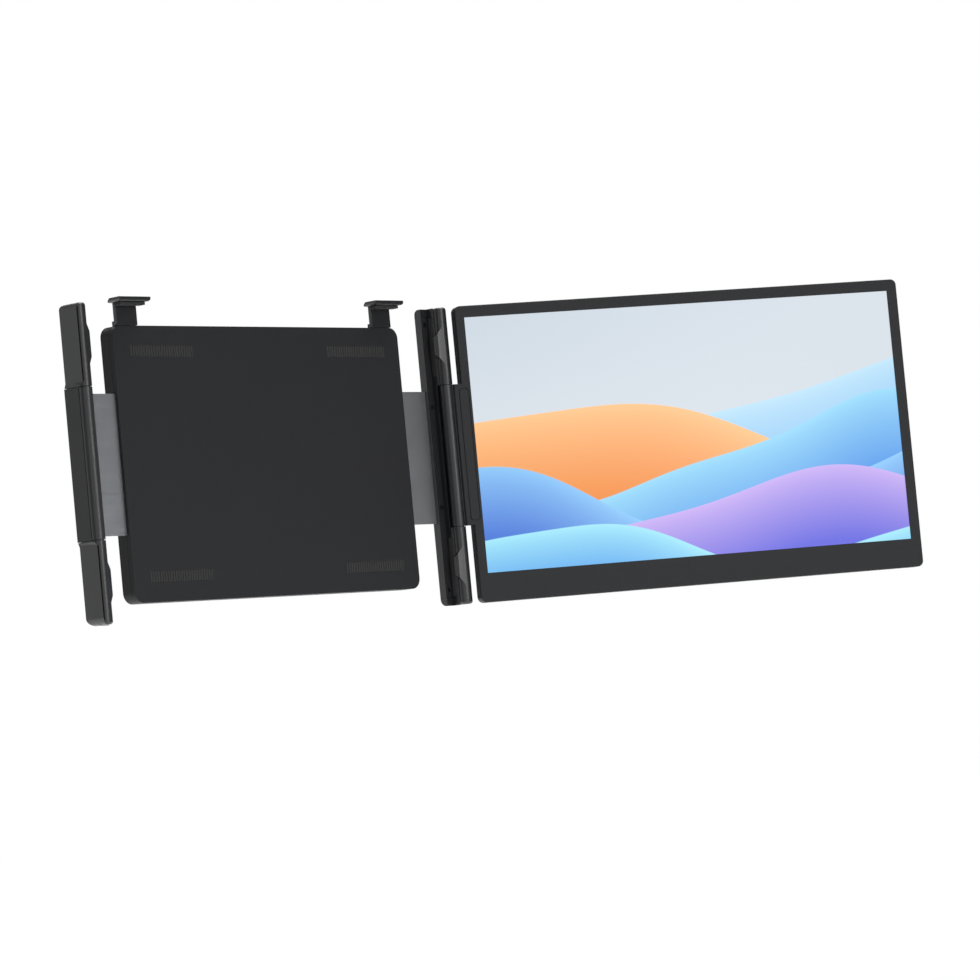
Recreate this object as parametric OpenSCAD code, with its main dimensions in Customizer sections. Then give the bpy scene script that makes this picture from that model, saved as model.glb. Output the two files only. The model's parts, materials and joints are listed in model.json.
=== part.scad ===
// Laptop screen extender.
// Two C-shaped rails slide out of a frame behind the laptop's lid and clamp the lid's side edges.
// The right rail carries a 15.6 inch screen on a friction hinge. The left rail carries the same
// hinge with a short leaf, folded back along the rail's side. Two hooks hang the frame on the lid's
// top edge, and a kickstand folds out of the frame's back.
// X runs along the lid, Y points away from the viewer and Z points up along the rails.
// The origin is the middle of the face that the back of the lid rests on.

/* [Laptop lid] */
// Width of the lid that the rails are set to
lid_w = 354.5; // [335:0.5:385]
// Thickness of the lid
lid_t = 6.5; // [5:0.1:9]
// Height of the lid's top edge above the seat's middle
lid_top = 111.8; // [106:0.1:118]

/* [Rails] */
// Height of each rail and of the screen
rail_h = 224.5; // [215:0.5:240]
// Depth of the back leg behind the lid
leg_t = 6.4; // [6.2:0.1:12]
// Reach of the back leg behind the lid, from the side wall's inner face
leg_reach = 6.6; // [6.2:0.1:14]
// Thickness of the side wall beside the lid
side_wall = 8.5; // [7.5:0.1:12]
// Thickness of the leg's back and inner cover
leg_wall = 1.4; // [1.2:0.1:1.6]
// Thickness of the leg's solid ends
leg_end_t = 6; // [5.6:0.1:7]
// Radius of the upper back corner, seen from the side
rail_top_r = 4; // [1:0.5:7.5]
// Radius of the lower back corner, seen from the side
rail_foot_r = 5.5; // [1:0.5:7.5]
// Radius of the side wall's outer edge at its upper end
wall_top_r = 3; // [1:0.5:7]
// Radius of the side wall's outer edge at its lower end
wall_foot_r = 5.5; // [1:0.5:7]
// Thickness of the rubber pads beside the lid
side_pad_t = 1.2; // [0.8:0.1:1.8]
// Depth of the rubber pads beside the lid
side_pad_d = 4; // [2:0.1:5]
// Length of the rubber pads beside the lid
side_pad_l = 44; // [20:1:50]

/* [Hinges] */
// Radius of the barrels and of the tubes in line with them
barrel_r = 5; // [4.6:0.1:6]
// How far the barrels stand out past the side walls
barrel_proud = 1; // [0.6:0.1:2]
// Length of each moving barrel with its two washers
hinge_h = 107.6; // [80:0.2:120]
// Radius of the hinge shafts
shaft_r = 2.2; // [1.5:0.1:2.4]
// Length of each hinge shaft
shaft_l = 40; // [24:1:60]
// Length of the friction bushes
bush_l = 16; // [8:1:18]
// Wall of the friction bushes
bush_wall = 1.4; // [0.8:0.1:1.6]
// Thickness of the hinge washers
washer_t = 0.4; // [0.2:0.1:0.8]
// How far the washers stay inside the barrel's face
washer_inset = 1.2; // [0.5:0.1:1.6]
// Thickness of the steel leaves
leaf_t = 1.6; // [1.2:0.1:2]
// Thickness of the plastic that covers a leaf
leaf_cover_t = 1.8; // [1.4:0.1:2.4]
// Reach of the left leaf from the hinge axis
flap_w = 16.3; // [14:0.1:24]
// Angle of the screen towards the viewer, from the plane of the lid
screen_angle = 30; // [-25:1:170]
// Thickness of the tubes' end caps
cap_t = 2.8; // [2.6:0.1:4]
// Radius of the caps' round edges
cap_round_r = 2.2; // [0.5:0.1:2.4]
// Height over which each side wall flares out to meet a barrel
flare_h = 3.3; // [2:0.1:6]
// Width and depth of the groove between each tube and its side wall
groove = 1; // [0.4:0.1:1.2]
// Reach of the grip claws over the lid's front, from its side edge
claw_reach = 1.8; // [0.5:0.1:3]
// Length of each grip claw along its tube
claw_l = 30.8; // [26:0.2:34]
// Gap between the end of a grip claw and the barrel
claw_gap = 14; // [10:0.5:16]
// Slant at each end of a grip claw, over its reach
claw_slant = 6.4; // [3:0.2:8]

/* [Screen] */
// Width of the lit area
display_w = 344.2; // [300:0.1:380]
// Bezel beside the hinge
bezel_left = 7.2; // [6:0.1:12]
// Bezel on the free side
bezel_right = 8.3; // [7:0.1:12]
// Bezel above the lit area
bezel_top = 8.9; // [7:0.1:12]
// Bezel below the lit area
bezel_bottom = 22; // [18:0.1:30]
// Thickness of the housing
screen_t = 10; // [9.6:0.1:12]
// Corner radius of the housing
screen_corner_r = 4.5; // [2:0.5:8]
// Distance from the hinge axis to the housing
screen_gap = 10.6; // [9:0.1:14]
// Thickness of the housing's side walls
screen_wall = 2; // [1.6:0.1:2.4]
// Thickness of the bezel's face
bezel_face_t = 1; // [0.8:0.1:1.2]
// Depth of the bezel, from its face to the joint with the rear cover
bezel_depth = 3; // [2.6:0.1:3.6]
// Thickness of the rear cover's back
rear_wall = 1.5; // [1.2:0.1:2]
// Thickness of the glass panel
panel_t = 0.9; // [0.6:0.1:1.2]
// Thickness of the backlight unit
backlight_t = 3.1; // [2:0.1:3.2]
// Hidden edge of the panel around the lit area
panel_edge = 2.5; // [1.5:0.1:3]
// Width of the strip that covers the hinge screws
strip_w = 7.6; // [6:0.1:9]
// Length of the strip that covers the hinge screws
strip_l = 100; // [70:1:104]
// Depth of the strip's pocket
strip_t = 0.8; // [0.5:0.1:1]

/* [Frame behind the lid] */
// Width of the frame
frame_w = 288; // [280:1:288]
// Height of the frame
frame_h = 196; // [180:1:204]
// Depth of the frame
frame_t = 12.6; // [12:0.1:16]
// Wall thickness of the frame's shells
frame_wall = 1.8; // [1.4:0.1:2]
// Corner radius of the frame
frame_corner_r = 8; // [4:1:16]
// Length of the rubber pads on the seat
seat_pad_l = 60; // [30:1:80]
// Width of the rubber pads on the seat
seat_pad_w = 8; // [4:1:12]
// Depth of the pads' pockets
seat_pad_t = 0.8; // [0.5:0.1:1]

/* [Rack and pinion] */
// Tooth module of the rack and pinion
gear_module = 1.25; // [1:0.05:1.3]
// Number of teeth on the pinion
pinion_teeth = 16; // [14:2:16]
// Height of each slide plate
slide_h = 100; // [84:2:104]
// Thickness of each slide plate
slide_t = 2; // [1.5:0.1:2.2]
// Height of the slide plate's two bands
slide_band = 26; // [14:1:28]
// Height of the solid strip below the rack's teeth
rack_back = 5; // [3:0.5:6]
// Radius of the pinion's post
post_r = 1.5; // [1:0.1:2]

/* [Top hooks] */
// Distance from the frame's side to the middle of a hook
hook_inset = 15.6; // [14:0.1:30]
// Width of a hook's plate along its top
hook_w = 30; // [26:0.5:36]
// Radius of the lower corners of a hook's plate
hook_corner_r = 2.3; // [1:0.1:2.5]
// Width of the bevel along the back of a hook's top
hook_back_bevel = 2.6; // [1:0.1:3]
// Width of the bevel along the lower front edge of a hook
hook_front_bevel = 0.8; // [0.3:0.1:1.2]
// Thickness of a hook's plate
hook_t = 3.3; // [2.5:0.1:4]
// Reach of a hook's plate past the front of the lid
hook_reach = 3.5; // [2:0.1:6]
// Width of a hook's stem
stem_w = 20; // [14:0.5:22]
// Thickness of a hook's stem
stem_t = 3; // [2:0.1:3.4]
// Travel of a hook
hook_travel = 20; // [10:1:22]
// Thickness of the rubber pad under a hook
hook_pad_t = 2.2; // [1:0.1:3]
// Width of the rubber pad under a hook
hook_pad_w = 24; // [16:0.5:25]

/* [Kickstand] */
// Width of the kickstand
stand_w = 120; // [80:1:126]
// Length of the kickstand, from its pin to its foot
stand_l = 142; // [110:1:144]
// Thickness of the kickstand
stand_t = 3; // [2.6:0.1:3.2]
// Radius of the kickstand's pin
stand_pin_r = 0.9; // [0.7:0.1:1]
// Height of the kickstand's pin above the seat's middle
stand_pin_z = 56; // [50:1:60]
// Height of the kickstand's rubber foot
stand_foot_h = 4; // [2:0.5:8]

/* [Controls and ports] */
// Height of the power button above the screen's middle
power_z = 14; // [8:1:20]
// Height of the menu rocker above the screen's middle
menu_z = 36; // [30:1:50]
// Length of the power button
power_l = 8; // [6:0.5:10]
// Length of the menu rocker
menu_l = 16; // [12:0.5:20]
// Width of both controls
control_w = 2.6; // [2:0.1:3]
// How far the controls stand out
control_proud = 0.7; // [0.4:0.1:1]
// Travel of the power button
power_travel = 0.4; // [0.2:0.05:0.5]
// Spacing of the ports along the edge
port_pitch = 16; // [13:1:18]
// Height of the middle port above the screen's middle
port_z = -34; // [-40:1:-24]

/* [Fasteners] */
// Radius of the screws' shanks
screw_r = 0.9; // [0.7:0.1:1]
// Radius of the screws' heads
screw_head_r = 1.8; // [1.4:0.1:2]
// Thickness of the screws' heads
screw_head_t = 0.8; // [0.5:0.1:1]
// Radius of the screw bosses
boss_r = 2.6; // [2.2:0.1:3]

/* [Clearances] */
// Gap between moving faces
gap = 0.3; // [0.2:0.05:0.4]
// Gap between a shaft and what turns on it
running_fit = 0.05; // [0.02:0.01:0.1]
// Gap around a piece that is pressed or set into another
snug = 0.02; // [0.01:0.01:0.05]
// Gap between the lid's front and the barrels and claws
lip_gap = 0.6; // [0.4:0.1:1.5]
// Gap between the lid and the side walls
side_gap = 0.4; // [0.3:0.1:1]
// Gap between the screen's ear and its barrel
ear_gap = 0.5; // [0.3:0.1:1]

/* [Hidden] */
$fn = 64;

plastic = "#2a2b2d";
satin_plastic = "#3a3b3d";
rubber = "#1a1a1b";
steel = "#8c8f93";
dark_steel = "#4a4c50";
board_green = "#1f5a3a";

// Rails and hinge axis
wall_in_x = lid_w / 2 + side_gap;
rail_out_x = wall_in_x + side_wall;
leg_in_x = wall_in_x - leg_reach;
axis_x = rail_out_x + barrel_proud - barrel_r;
// the barrel passes the lid's front corner at the lip gap
corner_dx = axis_x - lid_w / 2;
axis_y = -lid_t - sqrt(max(0, pow(barrel_r + lip_gap, 2) - pow(corner_dx, 2)));
tube_front_y = axis_y - barrel_r;
ear_t = leaf_t + leaf_cover_t;
recess_x = axis_x + barrel_r - ear_t - gap;
barrel_h = hinge_h - 2 * (washer_t + gap / 1.5);
washer_z = barrel_h / 2 + gap / 3;
shaft_in = bush_l + (hinge_h - barrel_h) / 2;
plug_r = shaft_r + 0.9;
plug_l = 5;
side_pad_z = (hinge_h + rail_h) / 4;
boss_x = (leg_in_x + leg_wall + wall_in_x) / 2;
rail_boss_r = (wall_in_x - leg_in_x - leg_wall) / 2 - gap;
leg_screw_floor = 0.5;
groove_y = axis_y - sqrt(pow(barrel_r, 2) - pow(barrel_r - barrel_proud, 2));

// Grip claws: the front face leaves the tube where the tube faces claw_turn
claw_turn = 245;
claw_root = [axis_x, axis_y] + (barrel_r - snug) * [cos(claw_turn), sin(claw_turn)];
claw_tip_x = lid_w / 2 - claw_reach;
claw_run = (claw_root[0] - claw_tip_x) / sin(claw_turn - 180);
claw_tip = claw_root + claw_run * [sin(claw_turn), -cos(claw_turn)];
claw_foot_y = -lid_t - lip_gap;

// Slide plates, racks and pinion
slide_y = frame_wall + 0.5 + gap;
pitch_r = gear_module * pinion_teeth / 2;
rack_pitch = PI * gear_module;
addendum = 0.84 * gear_module;
dedendum = 1.2 * gear_module;
backlash = 0.15;
pressure_angle = 20;
base_r = pitch_r * cos(pressure_angle);
tip_r = pitch_r + addendum;
root_r = pitch_r - dedendum;
flank_start_r = max(base_r, root_r);
flank_r = [root_r, for (i = [0:5]) flank_start_r + i * (tip_r - flank_start_r) / 5];
half_tooth = (PI * gear_module / 2 - backlash) / 2 / pitch_r * 180 / PI;
function involute(a) = tan(a) - a * PI / 180;
// Half the angle that a tooth takes up at radius r
function half_angle(r) = half_tooth
    + (involute(pressure_angle) - involute(acos(min(1, base_r / r)))) * 180 / PI;
rack_reach = 30;
slide_overlap = 32;
window_x = frame_w / 2 - slide_overlap;
band_start = 44;
slide_end_x = wall_in_x - 1;
screw_inset = 12;
plate_screw_z = slide_h / 2 - screw_inset;
end_screw_z = rail_h / 2 - screw_inset;

// Frame
split_y = slide_y + slide_t / 2;
recess_floor_y = frame_t - stand_t - 2 * gap + 0.1;
recess_w = stand_w + 2;
recess_top_z = stand_pin_z + stand_t / 2 + gap + 0.5;
recess_bottom_z = stand_pin_z - stand_l - 8;
stand_y = frame_t - gap / 2 - stand_t / 2;
hook_x = frame_w / 2 - hook_inset;
hook_z = lid_top + hook_pad_t;
stem_y = slide_y - 0.2;
stem_lid_y = side_gap;
hook_back_y = stem_lid_y + stem_t;
jog_z = frame_h / 2 + gap;
stem_foot_z = slide_h / 2 + 8;
stem_foot_h = 4;
frame_screw_spots = [
    for (side = [-1, 1]) [side * (frame_w / 2 - 14), -(frame_h / 2 - 10)],
    for (side = [-1, 1]) [side * (hook_x - stem_w / 2 - 16), frame_h / 2 - 10],
    for (side = [-1, 1]) [side * (recess_w / 2 + 9), -(slide_h / 2 + 10)],
    for (side = [-1, 1]) [side * (recess_w / 2 + 9), slide_h / 2 + 10]
];

// Screen, in the hinge's own frame: X along the screen from the hinge axis, Y towards its back
screen_w = bezel_left + display_w + bezel_right;
screen_h = rail_h;
display_h = screen_h - bezel_top - bezel_bottom;
screen_end = screen_gap + screen_w;
face_y = -barrel_r;
back_y = face_y + screen_t;
join_y = face_y + bezel_depth;
leaf_y = face_y + leaf_cover_t;
display_x = screen_gap + bezel_left;
display_z = -screen_h / 2 + bezel_bottom;
panel_y = face_y + bezel_face_t;
backlight_y = panel_y + panel_t;
behind_panel_y = backlight_y + backlight_t;
ear_start = sqrt(pow(barrel_r + ear_gap, 2) - pow(barrel_r - leaf_cover_t, 2));
ear_h = hinge_h - 2 * gap;
cover_edge_t = 0.2;
cover_start = sqrt(pow(barrel_r + snug, 2) - pow(barrel_r - cover_edge_t, 2));
leaf_h = strip_l - 4;
leaf_step_x = screen_gap + screen_wall + 0.5;
leaf_back_y = behind_panel_y + 0.6;
leaf_reach = 40;
strip_x = screen_gap + 1.5;
leaf_screw_z = [for (i = [-1.5:1:1.5]) i * (strip_l - 16) / 3];
cover_screw_inset = 20;
cover_screw_pitch = (screen_w - 2 * cover_screw_inset) / 3;
cover_screw_x = [for (i = [0:3]) screen_gap + cover_screw_inset + i * cover_screw_pitch];
cover_screw_z = -(screen_h / 2 - bezel_bottom / 2 + 3);
inner_y = back_y - rear_wall;
speaker_x = [for (side = [-1, 1]) screen_gap + screen_w / 2 + side * screen_w * 0.34];
speaker_w = 36;
board_t = 1;
driver_board_w = 100;
driver_board_h = 40;
chip_w = 14;
chip_pitch = (driver_board_w - chip_w - 16) / 3;

// Ports, with the length of each from the lowest to the highest, and controls
port_y = inner_y - 1.7;
port_in = 8;
port_h = 3.2;
port_l = [8.9, 8.9, 11.2];
control_y = inner_y - 2.1;
flange_gap = 0.4;
flange_t = 1.1;
flange_w = control_w + 1.4;
pivot_r = 0.6;
pivot_hub_r = 1.3;
pivot_x = screen_end - screen_wall - flange_gap - pivot_hub_r - 0.1;

// Flat shapes and helpers

// A rectangle with round corners, centred
module rounded_rect(w, h, r) {
    square([w - 2 * r, h], center = true);
    square([w, h - 2 * r], center = true);
    for (x = [-1, 1], y = [-1, 1]) translate([x * (w / 2 - r), y * (h / 2 - r)]) circle(r);
}

// A slot with round ends, long in its second axis
module pill(w, l) {
    square([w, l - w], center = true);
    for (end = [-1, 1]) translate([0, end * (l - w) / 2]) circle(w / 2);
}

// Extrudes a shape drawn in X and Z from y0 to y1
module along_y(y0, y1) {
    translate([0, y1, 0]) rotate([90, 0, 0]) linear_extrude(y1 - y0) children();
}

// Extrudes a shape drawn in Y and Z from x0 to x1
module along_x(x0, x1) {
    translate([x0, 0, 0]) rotate([90, 0, 90]) linear_extrude(x1 - x0) children();
}

// A box between two corners
module box(low, high) {
    translate(low) cube(high - low);
}

// A round bar along Y
module rod_y(x, z, r, y0, y1) {
    translate([x, y1, z]) rotate([90, 0, 0]) cylinder(r = r, h = y1 - y0);
}

// The upper piece and its twin at the lower end
module both_ends() {
    children();
    mirror([0, 0, 1]) children();
}

module both_sides() {
    children();
    mirror([1, 0, 0]) children();
}

// Places a piece of the screen, drawn in the hinge's own frame
module at_screen() {
    translate([axis_x, axis_y, 0]) rotate([0, 0, -screen_angle]) children();
}

// Places a piece of the left leaf, drawn like the screen's, folded back along the side wall
module at_left_leaf() {
    mirror([1, 0, 0]) translate([axis_x, axis_y, 0]) rotate([0, 0, 90]) children();
}

// Rails

// What a round corner takes off the end of a rail, where end is 1 above and -1 below
module corner_waste(edge, end, r) {
    translate([edge - r, end * (rail_h / 2 - r)]) difference() {
        translate([0, (end - 1) * r]) square(2 * r);
        circle(r);
    }
}

// Side outline of a rail, from the front of the tubes to the back
module rail_outline() {
    difference() {
        translate([tube_front_y, -rail_h / 2]) square([leg_t - tube_front_y, rail_h]);
        corner_waste(leg_t, 1, rail_top_r);
        corner_waste(leg_t, -1, rail_foot_r);
    }
}

// Front outline of a rail: the side wall flares out beside the hinge to meet the barrel
module rail_front_outline() {
    proud_x = axis_x + barrel_r + snug;
    z0 = hinge_h / 2 + 0.8;
    z1 = hinge_h / 2 + flare_h;
    polygon([[leg_in_x - 1, -rail_h], [rail_out_x, -rail_h], [rail_out_x, -z1], [proud_x, -z0],
             [proud_x, z0], [rail_out_x, z1], [rail_out_x, rail_h], [leg_in_x - 1, rail_h]]);
}

// Everything within a rail's outer edges: the side wall's ends are round, the tubes' ends square
module rail_envelope() {
    along_y(tube_front_y - 1, groove_y) rail_front_outline();
    along_y(tube_front_y - 1, leg_t + 1) difference() {
        rail_front_outline();
        corner_waste(rail_out_x, 1, wall_top_r);
        corner_waste(rail_out_x, -1, wall_foot_r);
    }
}

// Section of a rail: the tube, the side wall and the back leg
module rail_section() {
    translate([axis_x, axis_y]) circle(barrel_r);
    translate([wall_in_x, axis_y]) square([axis_x + barrel_r - wall_in_x, leg_t - axis_y]);
    translate([leg_in_x, 0]) square([axis_x - leg_in_x, leg_t]);
}

// Claw beside a tube that reaches over the front of the lid, with slanted ends
module grip_claw() {
    z0 = hinge_h / 2 + claw_gap;
    z1 = z0 + claw_l;
    rise = claw_slant / claw_run;
    far = 1.5;
    intersection() {
        translate([0, 0, z0 - 2 * rise]) linear_extrude(claw_l + 4 * rise)
            polygon([claw_root, claw_tip, [claw_tip_x, claw_foot_y], [axis_x, claw_foot_y]]);
        translate([claw_root[0], claw_root[1], 0]) rotate([0, 0, claw_turn - 90])
            along_y(-3 * barrel_r, barrel_r)
                polygon([[-1, z0 - rise], [far * claw_run, z0 + far * claw_slant],
                         [far * claw_run, z1 - far * claw_slant], [-1, z1 + rise]]);
    }
}

module rail_tube_bores() {
    translate([axis_x, axis_y, hinge_h / 2 - 1])
        cylinder(r = shaft_r + snug, h = rail_h / 2);
    translate([axis_x, axis_y, rail_h / 2 - cap_t - plug_l - gap])
        cylinder(r = plug_r + snug, h = rail_h / 2);
}

// Rubber pad beside the lid, grown on request to cut its pocket
module side_pad(grow) {
    y0 = -(lid_t + side_pad_d) / 2;
    z0 = side_pad_z - side_pad_l / 2;
    box([wall_in_x - 0.2, y0 - grow, z0 - grow],
        [wall_in_x - 0.2 + side_pad_t + grow, y0 + side_pad_d + grow, z0 + side_pad_l + grow]);
}

module rail_shell() {
    color(plastic) difference() {
        union() {
            intersection() {
                along_x(leg_in_x - 1, axis_x + 2 * barrel_r) rail_outline();
                rail_envelope();
                translate([0, 0, -rail_h / 2]) linear_extrude(rail_h) rail_section();
            }
            both_ends() grip_claw();
        }
        both_ends() rail_tube_bores();
        both_ends() translate([axis_x, axis_y, rail_h / 2 - cap_t])
            cylinder(r = barrel_r + snug, h = cap_t + 1);
        both_ends() side_pad(snug);
        both_ends() box([rail_out_x - groove, groove_y - groove / 2, hinge_h / 2 + flare_h],
                        [rail_out_x + 1, groove_y + groove / 2, rail_h]);
        // room for the moving barrel, and for a leaf folded back along the side
        box([axis_x - barrel_r - 1, tube_front_y - 1, -hinge_h / 2],
            [axis_x + barrel_r + 1, axis_y + barrel_r + gap, hinge_h / 2]);
        box([recess_x, tube_front_y - 1, -hinge_h / 2], [axis_x + barrel_r + 1, leg_t + 1, hinge_h / 2]);
        // hollow of the back leg, its undercut behind the side wall, and the slide plate's slot
        box([leg_in_x + leg_wall, -1, -rail_h / 2 + leg_end_t],
            [wall_in_x, leg_t - leg_wall, rail_h / 2 - leg_end_t]);
        box([wall_in_x - 1, leg_wall + gap, -rail_h / 2 + leg_end_t],
            [recess_x - leg_wall, leg_t - leg_wall, rail_h / 2 - leg_end_t]);
        box([leg_in_x - 1, slide_y - gap, -slide_h / 2 - gap],
            [leg_in_x + leg_wall + 1, slide_y + slide_t + gap, slide_h / 2 + gap]);
        both_ends() for (z = [plate_screw_z, end_screw_z])
            rod_y(boss_x, z, screw_r + snug, slide_y, leg_t - leg_screw_floor);
    }
    color(plastic) both_ends() {
        rail_boss(plate_screw_z, slide_y + slide_t);
        rail_boss(end_screw_z, leg_wall);
    }
}

// Boss for a screw at the back of a rail's leg
module rail_boss(z, start_y) {
    difference() {
        rod_y(boss_x, z, rail_boss_r, start_y, leg_t - leg_wall);
        rod_y(boss_x, z, screw_r + snug, start_y - 1, leg_t);
    }
}

module rail_cover() {
    x0 = leg_in_x + leg_wall + 0.1;
    z1 = rail_h / 2 - leg_end_t - 0.1;
    color(plastic) difference() {
        union() {
            box([x0, 0, -z1], [wall_in_x - 0.1, leg_wall, z1]);
            both_ends() rod_y(boss_x, plate_screw_z, rail_boss_r, leg_wall - 0.2, slide_y);
        }
        both_ends() for (z = [plate_screw_z, end_screw_z]) {
            rod_y(boss_x, z, screw_r + gap, -1, slide_y + 1);
            rod_y(boss_x, z, screw_head_r + gap / 2, -1, screw_head_t + 0.2);
        }
    }
}

module rail_screws() {
    color(dark_steel) both_ends() for (z = [plate_screw_z, end_screw_z]) {
        rod_y(boss_x, z, screw_head_r, 0.2, 0.2 + screw_head_t);
        rod_y(boss_x, z, screw_r, 0.2 + screw_head_t - 0.1, leg_t - leg_screw_floor - 0.2);
    }
}

module side_pads() {
    color(rubber) both_ends() side_pad(0);
}

module hinge_shaft() {
    color(steel) translate([axis_x, axis_y, hinge_h / 2 - shaft_in + gap])
        cylinder(r = shaft_r, h = shaft_l);
}

module tube_caps() {
    color(satin_plastic) {
        intersection() {
            both_ends() translate([axis_x, axis_y, rail_h / 2 - cap_t]) rotate_extrude() {
                square([barrel_r, cap_t - cap_round_r]);
                square([barrel_r - cap_round_r, cap_t]);
                intersection() {
                    translate([barrel_r - cap_round_r, cap_t - cap_round_r]) circle(cap_round_r);
                    square([barrel_r, cap_t]);
                }
            }
            rail_envelope();
        }
        both_ends() translate([axis_x, axis_y, rail_h / 2 - cap_t - plug_l])
            cylinder(r = plug_r, h = plug_l + 0.5);
    }
}

// Slide plates with their racks

// Outline of the right slide plate in X and Z: two bands, an outer end and a rack below the pinion
module slide_outline() {
    rack_z = -pitch_r;
    translate([window_x, -slide_h / 2]) square([slide_end_x - window_x, slide_h]);
    for (side = [0, 1]) mirror([0, side])
        translate([band_start, slide_h / 2 - slide_band]) square([window_x + 1 - band_start, slide_band]);
    translate([-rack_reach, rack_z - dedendum - rack_back])
        square([window_x + 1 + rack_reach, rack_back]);
    half_top = rack_pitch / 4 - backlash / 2 - addendum * tan(pressure_angle);
    half_root = rack_pitch / 4 - backlash / 2 + dedendum * tan(pressure_angle);
    first = ceil(-rack_reach / rack_pitch);
    for (i = [first : floor(band_start / rack_pitch)])
        translate([(i + 0.5) * rack_pitch, rack_z])
            polygon([[-half_root, -dedendum - 0.1], [half_root, -dedendum - 0.1],
                     [half_top, addendum], [-half_top, addendum]]);
}

module slide_plate() {
    color(steel) difference() {
        along_y(slide_y, slide_y + slide_t) slide_outline();
        both_ends() rod_y(boss_x, plate_screw_z, screw_r + gap, slide_y - 1, slide_y + slide_t + 1);
    }
}

module pinion_outline() {
    polygon([
        for (tooth = [0 : pinion_teeth - 1])
            for (side = [-1, 1])
                for (i = [0 : len(flank_r) - 1])
                    let (r = flank_r[side < 0 ? i : len(flank_r) - 1 - i],
                         a = 90 + tooth * 360 / pinion_teeth + side * half_angle(max(r, base_r)))
                    [r * cos(a), r * sin(a)]
    ]);
}

module sync_pinion() {
    color("#c9b037") difference() {
        along_y(slide_y - 0.2, slide_y + slide_t + 0.2) pinion_outline();
        rod_y(0, 0, post_r + running_fit, 0, frame_t);
    }
}

module pinion_post() {
    color(steel) rod_y(0, 0, post_r, frame_wall / 2, recess_floor_y - frame_wall / 2);
}

// Frame behind the lid

module frame_outline(inset) {
    rounded_rect(frame_w - 2 * inset, frame_h - 2 * inset, frame_corner_r - inset);
}

module seat_pad_places() {
    for (x = [-1, 1], z = [-1, 1])
        translate([x * (frame_w / 2 - seat_pad_l / 2 - 16), 0, z * (frame_h / 2 - 14 - seat_pad_w / 2)])
            children();
}

// Slots in the frame's walls for the slide plates and the hooks' stems
module frame_slots() {
    box([-frame_w, slide_y - gap, -slide_h / 2 - gap],
        [-frame_w / 2 + 2 * frame_wall, slide_y + slide_t + gap, slide_h / 2 + gap]);
    box([frame_w / 2 - 2 * frame_wall, slide_y - gap, -slide_h / 2 - gap],
        [frame_w, slide_y + slide_t + gap, slide_h / 2 + gap]);
    both_sides() box([hook_x - stem_w / 2 - gap, stem_y - gap, frame_h / 2 - 2 * frame_wall],
                     [hook_x + stem_w / 2 + gap, stem_y + stem_t + gap, frame_h]);
}

module frame_front_shell() {
    rib_y = slide_y - gap;
    color(plastic) difference() {
        union() {
            along_y(0, frame_wall) frame_outline(0);
            along_y(frame_wall - 0.1, split_y) difference() {
                frame_outline(0);
                frame_outline(frame_wall);
            }
            for (spot = frame_screw_spots) rod_y(spot[0], spot[1], boss_r, frame_wall - 0.1, split_y);
            rod_y(0, 0, 2 * post_r, frame_wall - 0.1, slide_y - 0.2 - gap);
            // ribs that the slide plates run on
            both_sides() both_ends() box([frame_w / 4, frame_wall - 0.1, slide_h / 2 - 8],
                                         [frame_w / 2 - frame_wall, rib_y, slide_h / 2 - 6.5]);
            both_sides() box([frame_w / 4, frame_wall - 0.1, -slide_h / 2 - 2.4],
                             [frame_w / 2 - frame_wall, split_y, -slide_h / 2 - gap]);
            both_sides() box([frame_w / 4, frame_wall - 0.1, slide_h / 2 + gap],
                             [frame_w / 2 - frame_wall, split_y, slide_h / 2 + 2.4]);
        }
        frame_slots();
        for (spot = frame_screw_spots)
            rod_y(spot[0], spot[1], screw_r + snug, frame_wall - 0.4, split_y + 1);
        rod_y(0, 0, post_r + snug, frame_wall / 2, frame_t);
        seat_pad_places() along_y(-1, seat_pad_t) square([seat_pad_l + 0.1, seat_pad_w + 0.1], true);
    }
}

module seat_pads() {
    color(rubber) seat_pad_places() along_y(0, seat_pad_t) square([seat_pad_l, seat_pad_w], true);
}

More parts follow.
